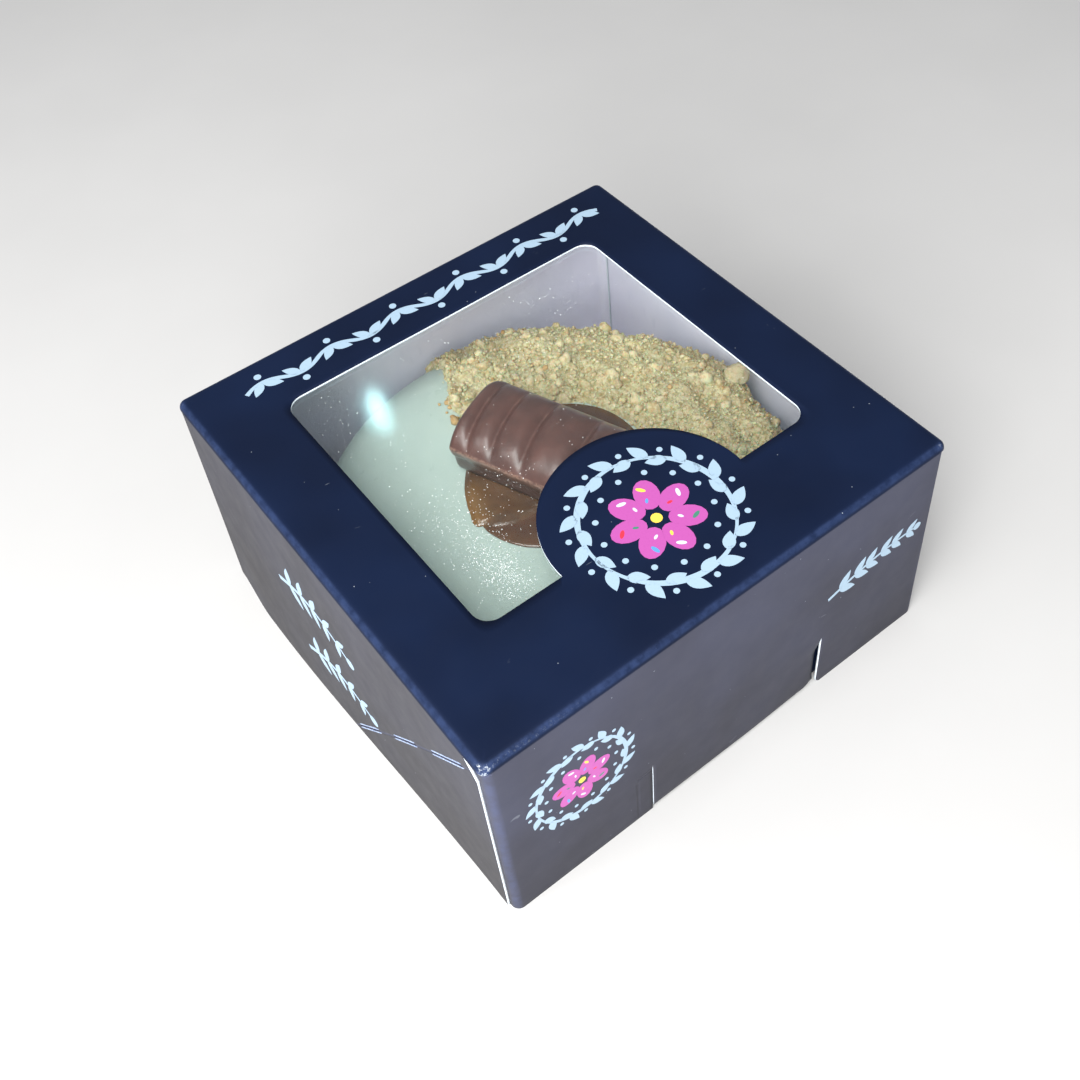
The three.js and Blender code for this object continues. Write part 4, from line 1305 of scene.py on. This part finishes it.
# %% Biscuit
def biscuit_crumb():
    recipe = Recipe("biscuit_crumb", Subsurface_Weight=0.4, Subsurface_Scale=0.0016, Specular_IOR_Level=0.12)
    tone = recipe.span(recipe.attribute("tone"), 0, 1, -0.1, 0.1)
    fleck = recipe.maths("ADD", recipe.noise(1.0, 3.0, 0.6), tone)
    pale = recipe.blend(recipe.span(fleck, 0.34, 0.58), shade(188, 169, 124), shade(222, 207, 169))
    # Painted shade: dark brown specks stand for the shade in the gaps between the grains.
    gap_shade = recipe.span(recipe.noise(0.75, 2.0, 0.5, 0.6), 0.4, 0.3)
    gap_shaded = recipe.blend(recipe.times(gap_shade, 0.4), pale, shade(158, 134, 92))
    patch = recipe.span(recipe.noise(3.2, 2.0), 0.6, 0.7)
    toasted = recipe.times(recipe.span(recipe.noise(1.4, 3.0, 0.6), 0.4, 0.6), patch)
    recipe.colour(recipe.blend(recipe.times(toasted, 0.42), gap_shaded, shade(190, 142, 84)))
    recipe.roughness(fleck, 0.8, 0.97)
    recipe.bump(recipe.noise(0.4, 3.0, 0.6), 0.12)
    recipe.bump(recipe.noise(0.75, 2.0, 0.5, 0.6), 0.15)
    return recipe.material


def toasted_crumb():
    recipe = Recipe("toasted_crumb", Specular_IOR_Level=0.2)
    tone = recipe.span(recipe.attribute("tone"), 0, 1, -0.2, 0.2)
    fleck = recipe.maths("ADD", recipe.noise(0.8, 3.0, 0.6), tone)
    recipe.colour(recipe.blend(recipe.span(fleck, 0.3, 0.7), shade(186, 146, 96), shade(208, 176, 128)))
    recipe.roughness(fleck, 0.75, 0.92)
    recipe.bump(recipe.noise(0.3, 3.0), 0.15)
    return recipe.material


# %% Face that the crumbs lie on
def crumb_face():
    """Points, outward directions and grid size of the icing's face where crumbs can lie."""
    turns = np.linspace(0.34, np.pi / 2 - 0.02, 136)
    angles = np.radians(np.linspace(-112, 130, 350))
    profile = np.array([shoulder_point(turn) for turn in turns])
    reach = profile[:, :1] * (1 + outline_wobble(angles)[None, :] / ICING_RADIUS)
    points = np.stack([
        DOUGHNUT_MIDDLE[0] + reach * np.cos(angles),
        DOUGHNUT_MIDDLE[1] + reach * np.sin(angles),
        np.broadcast_to(profile[:, 1:], reach.shape),
    ], axis=-1)
    slope = np.gradient(profile, axis=0)
    outward = np.stack([slope[:, 1], -slope[:, 0]], axis=1)
    outward /= np.linalg.norm(outward, axis=1)[:, None]
    normals = np.stack([
        outward[:, :1] * np.cos(angles),
        outward[:, :1] * np.sin(angles),
        np.broadcast_to(outward[:, 1:], reach.shape),
    ], axis=-1)
    return points.reshape(-1, 3), normals.reshape(-1, 3), len(turns), len(angles)


FACE_POINTS, FACE_NORMALS, FACE_ROWS, FACE_COLUMNS = crumb_face()
print("crumbs cover", round(float((crumb_depth(FACE_POINTS) > 0).mean()), 2), "of this face")

# %% Crumb bed
BED_ROOT = 1.2  # depth of the bed's underside under the icing's face


def make_crumb_bed():
    height = crumb_height(FACE_POINTS)
    top = FACE_POINTS + FACE_NORMALS * height[:, None]
    roof = bar_floor(top[:, 0], top[:, 1]) - 0.3
    top[:, 2] = np.minimum(top[:, 2], roof)
    low = FACE_POINTS - FACE_NORMALS * BED_ROOT
    count = len(top)
    upper_faces = grid_faces(FACE_ROWS, FACE_COLUMNS)
    lower_faces = [(b + count, a + count, d + count, c + count) for a, b, c, d in upper_faces]
    border = list(range(FACE_COLUMNS))
    border += [row * FACE_COLUMNS + FACE_COLUMNS - 1 for row in range(1, FACE_ROWS)]
    border += list(range(count - 2, count - FACE_COLUMNS - 1, -1))
    border += [row * FACE_COLUMNS for row in range(FACE_ROWS - 2, 0, -1)]
    rim_faces = [(a, a + count, b + count, b) for a, b in zip(border, border[1:] + border[:1])]
    faces = upper_faces + lower_faces + rim_faces
    points = np.concatenate([top, low])
    bed = make_mesh("crumb_bed", points, faces, [BISCUIT])
    store_values(bed, "tone", np.full(len(points), 0.4))
    settle(bed, "crumb", "crumb_topping")
    return height


BISCUIT = biscuit_crumb()
bed_height = make_crumb_bed()

# %% [markdown]
# ## Loose grains
#
# Grains are strewn by picking random places of the bed and setting a small body on each, squashed and
# turned at random. The finest grains are cubes, which look like broken sugar at that size, and the
# coarse ones are balls made lumpy with noise. All grains of one kind are one mesh. They are worked out
# together as arrays, which takes a second where one object for each grain would take minutes.

# %% Shapes of grains
def chip():
    """A cube, the plainest angular grain, of radius 1."""
    points = np.array(list(itertools.product((-1, 1), repeat=3))) / math.sqrt(3)
    quads = [(0, 1, 3, 2), (4, 6, 7, 5), (0, 4, 5, 1), (2, 3, 7, 6), (0, 2, 6, 4), (1, 5, 7, 3)]
    return points, np.array([half for a, b, c, d in quads for half in ((a, b, c), (a, c, d))])


def ball(subdivisions):
    """Points and triangles of a ball of radius 1."""
    mesh = bmesh.new()
    bmesh.ops.create_icosphere(mesh, subdivisions=subdivisions, radius=1.0)
    points = np.array([vertex.co[:] for vertex in mesh.verts])
    faces = np.array([[vertex.index for vertex in face.verts] for face in mesh.faces])
    mesh.free()
    return points, faces


print("points of a ball cut three times:", len(ball(3)[0]))


# %% Strewing
def random_turns(count):
    """Random rotation matrices, from random unit quaternions."""
    spins = random.normal(size=(4, count))
    w, x, y, z = spins / np.linalg.norm(spins, axis=0)
    return np.stack([
        np.stack([1 - 2 * (y * y + z * z), 2 * (x * y - w * z), 2 * (x * z + w * y)], axis=1),
        np.stack([2 * (x * y + w * z), 1 - 2 * (x * x + z * z), 2 * (y * z - w * x)], axis=1),
        np.stack([2 * (x * z - w * y), 2 * (y * z + w * x), 1 - 2 * (x * x + y * y)], axis=1),
    ], axis=1)


def strew(name, shape, places, sizes, material, rough=0.3, lumps=0.0):
    """One mesh with a grain of its own size, turn and tone at each place."""
    body, faces = shape
    count = len(places)
    bodies = np.repeat(body[None], count, axis=0)
    bodies *= 1 + random.uniform(-rough, rough, (count, len(body), 1))
    if lumps:
        spots = (bodies + random.uniform(0, 400, (count, 1, 3))).reshape(-1, 3)
        swell = lumps * (uneven(spots, 0.8, 22) + 0.5 * uneven(spots, 0.35, 23))
        bodies *= 1 + swell.reshape(count, -1, 1)
    bodies *= random.uniform(0.55, 1.15, (count, 1, 3))
    bodies = np.einsum("nij,nvj->nvi", random_turns(count), bodies)
    points = (bodies * (sizes / 2)[:, None, None] + places[:, None, :]).reshape(-1, 3)
    all_faces = (faces[None] + (np.arange(count) * len(body))[:, None, None]).reshape(-1, 3)
    piece = make_mesh(name, points, all_faces.tolist(), [material])
    store_values(piece, "tone", np.repeat(random.uniform(0, 1, count), len(body)))
    settle(piece, "crumb")


# %% Places and sizes of grains
def grain_places(sizes, least_depth, lift):
    """Places on the crumb bed for grains of these sizes; lift is how far they may stand proud."""
    count = len(sizes)
    steps = np.linalg.norm(np.diff(FACE_POINTS.reshape(FACE_ROWS, FACE_COLUMNS, 3), axis=0), axis=2)
    reach = np.hypot(*(FACE_POINTS[:, :2] - DOUGHNUT_MIDDLE).T).reshape(FACE_ROWS, FACE_COLUMNS)
    area = (np.vstack([steps, steps[-1:]]) * reach).ravel()
    likely = area * smooth_step(crumb_depth(FACE_POINTS), least_depth - 1.2, least_depth + 0.6) ** 2
    picked = random.choice(len(FACE_POINTS), count, p=likely / likely.sum())
    places = FACE_POINTS[picked] + random.uniform(-0.3, 0.3, (count, 3))
    rise = np.maximum(bed_height[picked], 0) + sizes * random.uniform(min(lift, 0.05), lift, count)
    places += FACE_NORMALS[picked] * rise[:, None]
    clear = bar_floor(places[:, 0], places[:, 1]) > 1e2
    return places[clear], sizes[clear]


def sizes_between(count, low, high):
    """Mostly small, some large."""
    return low + (high - low) * random.beta(1.3, 3.2, count)


# %% Loose grains
TOASTED = toasted_crumb()
strew("fine_crumbs", chip(), *grain_places(sizes_between(14000, 0.25, 0.7), 0.2, 0.2), BISCUIT)
strew("broken_crumbs", ball(1), *grain_places(sizes_between(2400, 0.7, 1.7), 0.3, 0.2), BISCUIT, 0.16)
strew("coarse_crumbs", ball(3), *grain_places(sizes_between(140, 1.8, 4.2), 1.4, 0.0), BISCUIT, 0.04, 0.3)
strew("toasted_crumbs", ball(2), *grain_places(sizes_between(60, 0.6, 1.8), 0.4, 0.2), TOASTED, 0.12)

# %% [markdown]
# ## Strays and the lump
#
# A few toasted crumbs have rolled off the bed on to the icing, and one large lump of biscuit has come to
# rest against the right wall. Single things like these are placed one by one, because chance never puts
# them where they belong.

# %% Strays and the lump by the wall
STRAYS = np.array([
    (-5.8, 31.9), (-6.4, 30.3), (-7.7, 29.5), (-7.5, 27.4), (-8.0, 25.7), (-7.0, 26.4), (-7.4, 33.0),
])
LUMP_PLACE, LUMP_SIZE = (48.9, -1.6, 37.4), 6.4
stray_sizes = np.array([1.5, 0.9, 0.7, 1.2, 1.9, 1.0, 0.7])
stray_places = np.c_[STRAYS, icing_height(*STRAYS.T) + 0.3 * stray_sizes]
strew("stray_crumbs", ball(2), stray_places, stray_sizes, TOASTED, 0.2)
strew("crumb_lump", ball(4), np.array([LUMP_PLACE]), np.array([LUMP_SIZE]), BISCUIT, 0.01, 0.3)

# %% [markdown]
# ## Printed ornaments
#
# The lid and walls carry white and pink print. Here it is plain flower work: a wreath of leaves round a
# pink blossom, a vine along the back of the lid and small sprigs on the walls. Ink has no thickness
# worth the name, so every leaf is a very thin prism that lies on the board and follows its bends. Drawn
# from a few shapes, leaf, dot and stroke, the ornaments stay sharp however close one looks.

# %% Leaf, dot and stroke
def turned_and_moved(points, angle, middle):
    """A flat outline turned by an angle and set down at middle."""
    cos, sin = math.cos(angle), math.sin(angle)
    return np.asarray(points) @ np.array([[cos, sin], [-sin, cos]]) + np.asarray(middle, float)


def leaf(middle, angle, length, width):
    """A pointed leaf that starts at middle and grows along angle."""
    run = np.linspace(0, 1, 9)
    swell = width / 2 * np.sin(np.pi * run**0.8) ** 0.9
    upper = np.stack([run * length, swell], axis=1)
    lower = np.stack([run[-2:0:-1] * length, -swell[-2:0:-1]], axis=1)
    return turned_and_moved(np.concatenate([upper, lower]), angle, middle)


def dot(middle, radius, stretch=1.0, angle=0.0):
    turns = np.linspace(0, 2 * np.pi, 17)[:-1]
    outline = np.stack([radius * stretch * np.cos(turns), radius * np.sin(turns)], axis=1)
    return turned_and_moved(outline, angle, middle)


def stroke(line, widths):
    """A brush stroke along a line, as a chain of quads."""
    line = np.asarray(line, float)
    direction = np.gradient(line, axis=0)
    direction /= np.linalg.norm(direction, axis=1)[:, None]
    side = np.stack([-direction[:, 1], direction[:, 0]], axis=1) * np.asarray(widths)[:, None] / 2
    left, right = line + side, line - side
    return [np.array([left[i], right[i], right[i + 1], left[i + 1]]) for i in range(len(line) - 1)]


print("points of a leaf:", len(leaf((0, 0), 0, 5, 2)))

# %% Inks
def ink(name, colour, dark):
    recipe = Recipe(name, Specular_IOR_Level=0.4, Coat_Weight=0.1, Coat_Roughness=0.3)
    grain = recipe.noise(0.5, 4.0, 0.7)
    recipe.colour(recipe.blend(recipe.span(grain, 0.5, 0.75, 0.0, 0.5), colour, dark))
    recipe.roughness(grain, 0.4, 0.55)
    recipe.bump(grain, 0.01)
    return recipe.material


INKS = {
    "white": ink("white_ink", shade(162, 187, 206), shade(146, 170, 190)),
    "pink": ink("pink_ink", shade(184, 84, 164), shade(172, 72, 152)),
    "pale": ink("pale_ink", shade(206, 218, 230), shade(190, 204, 218)),
    "red": ink("red_ink", shade(226, 52, 72), shade(196, 44, 62)),
    "yellow": ink("yellow_ink", shade(246, 214, 84), shade(226, 190, 70)),
    "blue": ink("blue_ink", shade(92, 156, 226), shade(76, 134, 200)),
    "green": ink("green_ink", shade(70, 132, 112), shade(58, 112, 96)),
}
INK_NAMES = list(INKS)
print("inks:", INK_NAMES)

# %% [markdown]
# ## Laying ink on a panel
#
# A drawing is a list of small outlines, each with its ink. A panel is a function that turns a place of
# the drawing into a place on the box. Every outline becomes a prism whose faces lie a few hundredths of
# a millimetre above and below the board's own face, after the same bend that the board has.

# %% Laying ink
INK_RISE, INK_ROOT = 0.035, 0.03  # how far the ink lies over and under the board's face
FLECK_RISE = 0.05  # flecks are printed over the petals


def on_lid(drawing):
    return np.c_[drawing, np.full(len(drawing), TOP)], np.array([0, 0, 1.0])


def on_front(drawing):
    across, up = drawing.T
    return np.stack([across, np.full_like(across, -HALF), up], axis=1), np.array([0, -1.0, 0])


def on_left(drawing):
    across, up = drawing.T
    return np.stack([np.full_like(across, -HALF), -across, up], axis=1), np.array([-1.0, 0, 0])


def lay_ink(name, panel, drawing):
    """drawing is a list of (ink, outline); each outline is an array of (across, up) places."""
    points, faces, inks = [], [], []
    for ink_name, outline in drawing:
        flat, outward = panel(np.asarray(outline, float))
        flat = bend(flat)
        start, count = len(points), len(flat)
        points.extend(flat + outward * (INK_RISE if ink_name in ("white", "pink") else FLECK_RISE))
        points.extend(flat - outward * INK_ROOT)
        faces.append(tuple(range(start, start + count)))
        faces.append(tuple(range(start + 2 * count - 1, start + count - 1, -1)))
        for i in range(count):
            beside = (i + 1) % count
            faces.append((start + i, start + count + i, start + count + beside, start + beside))
        inks += [INK_NAMES.index(ink_name)] * (count + 2)
    used = sorted(set(inks))
    piece = make_mesh(name, points, faces, [INKS[INK_NAMES[number]] for number in used])
    piece.data.polygons.foreach_set("material_index", [used.index(number) for number in inks])
    piece.data.polygons.foreach_set("use_smooth", [False] * len(faces))
    tidy_mesh(piece, 0.0001)
    settle(piece, "board")


# %% [markdown]
# ## Wreath, vine and sprigs
#
# Each ornament is a function that returns its outlines, so that the same wreath serves on the lid and,
# smaller, on the front wall. Leaves and berries are set along a line by counting: every second leaf
# turns outwards, and a berry stands between each pair.

# %% Wreath
def wreath(middle, size):
    """Leaves round a blossom; size is 1 for the one on the lid, which is 37 mm across."""
    middle = np.array(middle, float)
    drawing = []
    turns = np.radians(np.linspace(0, 360, 121))
    ring = middle + size * 14.6 * np.stack([np.cos(turns), np.sin(turns) * 1.04], axis=1)
    drawing += [("white", quad) for quad in stroke(ring, size * (0.95 + 0.35 * np.sin(turns * 3 + 1)))]
    for number in range(26):
        turn = 2 * math.pi * number / 26
        root = middle + size * 14.6 * np.array([math.cos(turn), math.sin(turn) * 1.04])
        outward = number % 2 == 0
        heading = turn + (0.95 if outward else math.pi - 1.15)
        drawing.append(("white", leaf(root, heading, size * (5.0 if outward else 4.4), size * 2.5)))
    for number in range(26):
        turn = 2 * math.pi * (number + 0.5) / 26
        outer = number % 2 == 1
        berry = middle + size * (17.0 if outer else 11.4) * np.array([math.cos(turn), math.sin(turn)])
        drawing.append(("white", dot(berry, size * 0.62)))
    return drawing + blossom(middle, size)


# %% Blossom
def blossom(middle, size):
    drawing = []
    for number in range(7):
        turn = 2 * math.pi * number / 7 + 0.3
        along = np.array([math.cos(turn), math.sin(turn)])
        drawing.append(("pink", dot(middle + size * 5.9 * along, size * 2.55, 1.45, turn)))
    flecks = ["pale", "yellow", "pale", "red", "blue", "pale", "green"]
    for number, fleck in enumerate(flecks):
        turn = 2 * math.pi * number / 7 + 0.3 + 0.12 * math.sin(number * 2.1)
        along = np.array([math.cos(turn), math.sin(turn)])
        drawing.append((fleck, dot(middle + size * 7.4 * along, size * 0.42, 2.4, turn + 0.9)))
        inner_fleck = flecks[(number + 3) % len(flecks)]
        drawing.append((inner_fleck, dot(middle + size * 4.5 * along, size * 0.3, 2.0, turn - 0.4)))
    drawing.append(("yellow", dot(middle, size * 1.15)))
    return drawing


print("outlines in a wreath:", len(wreath((0, 0), 1.0)))


# %% Sprig
def sprig(start, end, bow, leaves, leaf_size, stem, spread=0.75):
    """A stem from start to end, bowed sideways, with leaves at both sides and a berry at its tip."""
    start, end = np.array(start, float), np.array(end, float)
    run = np.linspace(0, 1, 25)
    along = end - start
    side = np.array([-along[1], along[0]]) / np.linalg.norm(along)
    line = start + run[:, None] * along + np.sin(np.pi * run)[:, None] * side * bow
    drawing = [("white", quad) for quad in stroke(line, stem * (1.1 - 0.5 * run))]
    slope = np.gradient(line, axis=0)
    for number, way in itertools.product(range(leaves), (-1, 1)):
        spot = int(2 + (number + 0.5) / leaves * 21)
        heading = math.atan2(slope[spot, 1], slope[spot, 0])
        length, width = np.array(leaf_size) * (1 - 0.3 * number / leaves)
        drawing.append(("white", leaf(line[spot], heading + way * spread, length, width)))
    drawing.append(("white", dot(end, stem * 1.3)))
    return drawing


# %% Vine
def vine(left, right, height, rise):
    """A waving stem with leaves and berries at each wave."""
    waves = 11
    x = np.linspace(left, right, 221)
    phase = (x - left) / (right - left) * waves * math.pi
    line = np.stack([x, height + rise * np.sin(phase)], axis=1)
    drawing = [("white", quad) for quad in stroke(line, 0.8 + 0.2 * np.cos(phase * 2))]
    for number in range(waves):
        way = 1 if number % 2 == 0 else -1
        spot = line[int((number + 0.5) / waves * 220)]
        for turn, length, width in ((0.6, 4.6, 2.2), (2.35, 4.2, 2.0)):
            drawing.append(("white", leaf(spot - (0, way * 0.2), -way * turn, length, width)))
        drawing.append(("white", dot(spot + (0.1, way * 1.9), 0.8)))
    return drawing


# %% All the ornaments
lay_ink("lid_wreath", on_lid, wreath((0.2, -32.8), 1.0))
lay_ink("lid_vine", on_lid, vine(-43, 48, 46.2, 1.5))
lay_ink("front_wreath", on_front, wreath((-36.4, 31.4), 0.69))
lay_ink("front_sprig", on_front, sprig((25, 30.5), (50, 33.5), 1.4, 6, (5.0, 2.2), 0.8))
UPPER_SPRIG = sprig((-21, 31), (6, 30), 4, 5, (6.0, 2.3), 1.1, 1.1)
LOWER_SPRIG = sprig((-15, 13), (10, 14), 4, 5, (5.6, 2.2), 1.1, 1.1)
lay_ink("side_sprigs", on_left, UPPER_SPRIG + LOWER_SPRIG)

# %% [markdown]
# ## Perforated crease
#
# A crease runs at 45 degrees down from the top front corner of each side wall, so that the box folds
# flat before it is filled. Three long cuts weaken the board along it. A cut in board has two raised lips
# of torn fibre, and the dark hairline between them is painted shade for the inside of the cut.

# %% Torn fibre
CREASE_CUTS = [(6.4, 19.5), (26, 36.5), (43, 53.5)]  # how far back and down each cut starts and ends


def torn_fibre():
    recipe = Recipe("torn_fibre", Roughness=0.9, Specular_IOR_Level=0.2)
    grain = recipe.noise(0.5, 4.0, 0.7)
    recipe.colour(recipe.blend(recipe.span(grain, 0.35, 0.6), shade(206, 220, 238), shade(132, 148, 186)))
    recipe.bump(grain, 0.05)
    return recipe.material


# Painted shade: the dark of the hairline inside each cut.
def cut_painted_shade():
    recipe = Recipe("cut_painted_shade", Roughness=0.8, Specular_IOR_Level=0.1)
    recipe.colour(recipe.blend(recipe.noise(0.6), shade(34, 38, 58), shade(58, 62, 84)))
    return recipe.material


# %% Crease
def make_crease(side, name):
    """Lips of the cuts on one side wall, and the hairlines of painted shade between them."""
    points, faces, kinds = [], [], []

    def ridge(low, high, shift, width, rise, kind):
        stops = np.linspace(low, high, 40)
        ripple = uneven(np.c_[stops, stops * 0 + shift, stops * 0 + side], 0.8, 21)
        ends = np.sqrt(np.clip(np.minimum(stops - low, high - stops) / 0.8, 0, 1))
        start = len(points)
        for stop, swell, end in zip(stops, ripple, ends):
            half = width / 2 * (1 + 0.3 * swell) * max(end, 0.15)
            lift = rise * (1 + 0.5 * swell) * max(end, 0.15)
            place = bend([[side * HALF, -HALF + stop, TOP - stop]])[0]
            place += np.array([0, 1, 1]) / math.sqrt(2) * (shift + 0.05 * swell)
            across = np.array([0, 1, 1]) / math.sqrt(2) * half
            for offset in (-across, np.array([side * lift, 0, 0]), across, np.array([-side * 0.1, 0, 0])):
                points.append(place + offset)
        new_faces = grid_faces(len(stops), 4, closed=True, start=start)
        faces.extend(new_faces)
        kinds.extend([kind] * len(new_faces))

    for low, high in CREASE_CUTS:
        ridge(low, high, -0.42, 0.42, 0.14, 0)
        ridge(low + 0.4, high - 0.3, 0.42, 0.42, 0.1, 0)
        # The middle ridge carries the cut's painted shade.
        ridge(low + 0.1, high - 0.1, 0.0, 0.4, 0.03, 1)
    piece = make_mesh(name, points, faces, [torn_fibre(), cut_painted_shade()])
    piece.data.polygons.foreach_set("material_index", kinds)
    settle(piece, "board")


make_crease(-1, "left_crease")
make_crease(1, "right_crease")

# %% [markdown]
# ## Dust on the film
#
# Sugar dust clings to the film, thick over one place of the icing and thin elsewhere. Each grain is a
# tiny eight-sided crystal, too small to show a shape but bright enough to sparkle. The heaps are spread
# like the hits on a target, from random numbers that thin out with distance.

# %% Sugar dust
DUST_HEAPS = [
    ((-28.4, -25.0), (2.3, 2.8), 400),
    ((-28.6, -18.0), (2.8, 3.2), 260),
    ((-29.0, -8.0), (4.0, 6.0), 180),
    ((-20.0, -8.0), (5.0, 4.0), 90),
    ((-27.0, 24.0), (5.0, 6.0), 70),
    ((18.0, 28.0), (10.0, 6.0), 130),
]  # middle, spread and number of grains of each heap


def sugar_dust():
    recipe = Recipe("sugar_dust", Specular_IOR_Level=0.8)
    recipe.colour(recipe.blend(recipe.noise(2.0), shade(250, 252, 252), shade(232, 236, 232)))
    recipe.roughness(recipe.noise(1.0), 0.15, 0.4)
    return recipe.material


# %% Film dust
def make_dust():
    spots = []
    for middle, spread, count in DUST_HEAPS:
        spots.append(np.array(middle) + random.normal(size=(count, 2)) * spread)
    spots.append(random.uniform((-37, -30), (38, 37), (420, 2)))
    spots = np.concatenate(spots)
    in_window = (spots[:, 0] > WINDOW["left"] + 0.5) & (spots[:, 0] < WINDOW["right"] - 0.5)
    in_window &= (spots[:, 1] > WINDOW["front"] + 0.5) & (spots[:, 1] < WINDOW["back"] - 0.5)
    in_window &= np.linalg.norm(spots - LOBE_MIDDLE, axis=1) > LOBE_RADIUS + 0.4
    spots = spots[in_window]
    sizes = 0.1 + 0.25 * random.beta(1.2, 4.0, len(spots))
    height = film_face(np.c_[spots, np.full(len(spots), FILM_HIGH[2])])
    places = np.c_[spots, height + sizes * 0.4]
    octahedron = np.array([(1, 0, 0), (-1, 0, 0), (0, 1, 0), (0, -1, 0), (0, 0, 1), (0, 0, -1)], float)
    sides = [(a, b, c) for a in (0, 1) for b in (2, 3) for c in (4, 5)]
    sides = [(a, b, c) if (a + b + c) % 2 == 0 else (b, a, c) for a, b, c in sides]
    bodies = np.einsum("nij,vj->nvi", random_turns(len(places)), octahedron)
    points = (bodies * (sizes / 2)[:, None, None] + places[:, None, :]).reshape(-1, 3)
    faces = [tuple(6 * number + corner for corner in side) for number in range(len(places)) for side in sides]
    dust = make_mesh("film_dust", points, faces, [sugar_dust()])
    tidy_mesh(dust, 0.0001)
    settle(dust, "icing")


make_dust()

# %% [markdown]
# ## Table and light
#
# The box stands on a plain pale table in soft light. A wide lamp above lights the food through the
# window, and a second one at the front left makes the left wall the brighter one. A smaller one at the
# left gives the waves of the chocolate their sheen, and the sky fills the shadows. One tiny lamp behind
# the box is there for its mirror image alone: it is the glare that shows where the film is.

# %% Table
def pale_table():
    recipe = Recipe("pale_table", Specular_IOR_Level=0.3)
    cloud = recipe.noise(60.0, 3.0)
    recipe.colour(recipe.blend(cloud, shade(200, 199, 197), shade(207, 206, 204)))
    recipe.roughness(cloud, 0.6, 0.7)
    return recipe.material


def make_table():
    reach = 3000.0
    corners = [(-reach, -reach, -0.1), (reach, -reach, -0.1), (reach, reach, -0.1), (-reach, reach, -0.1)]
    make_mesh("table", corners, [(0, 1, 2, 3)], [pale_table()])


make_table()


# %% Lamps
def add_lamp(name, place, target, width, height, power, colour=(1, 1, 1)):
    """An oval lamp. Places are in millimetres, width and height in metres and power in watts."""
    lamp = bpy.data.lights.new(name, "AREA")
    lamp.shape = "ELLIPSE"
    lamp.size, lamp.size_y = width, height
    lamp.energy = power
    lamp.color = colour
    thing = bpy.data.objects.new(name, lamp)
    thing.location = Vector(place) * MM
    aim = (Vector(target) - Vector(place)) * MM
    thing.rotation_euler = aim.to_track_quat("-Z", "Y").to_euler()
    bpy.context.scene.collection.objects.link(thing)


FOOD = (0, 0, 40)  # where the wide lamps point


def light_the_scene():
    world = bpy.data.worlds.new("sky")
    world.use_nodes = True
    sky = world.node_tree.nodes["Background"].inputs
    sky["Color"].default_value = (0.93, 0.95, 1.0, 1)
    sky["Strength"].default_value = 0.38
    bpy.context.scene.world = world
    add_lamp("lamp_above", (-300, -200, 620), FOOD, 0.5, 0.5, 5.2)
    add_lamp("lamp_front", (-475, -405, 260), FOOD, 0.5, 0.5, 5.7)
    add_lamp("lamp_left", (-500, 110, 440), FOOD, 0.26, 0.26, 0.65)
    glare = Vector((-24.9, 25.6, 54.7))  # where the mirror image lies on the film
    to_lamp = Vector((0.258, 0.658, 0.708))
    add_lamp("lamp_glare", glare + to_lamp * 600, glare, 0.008, 0.026, 0.020, (0.75, 1, 1))


light_the_scene()
print("lamps:", [thing.name for thing in bpy.data.lights])
bpy.context.scene.view_settings.view_transform = "Standard"
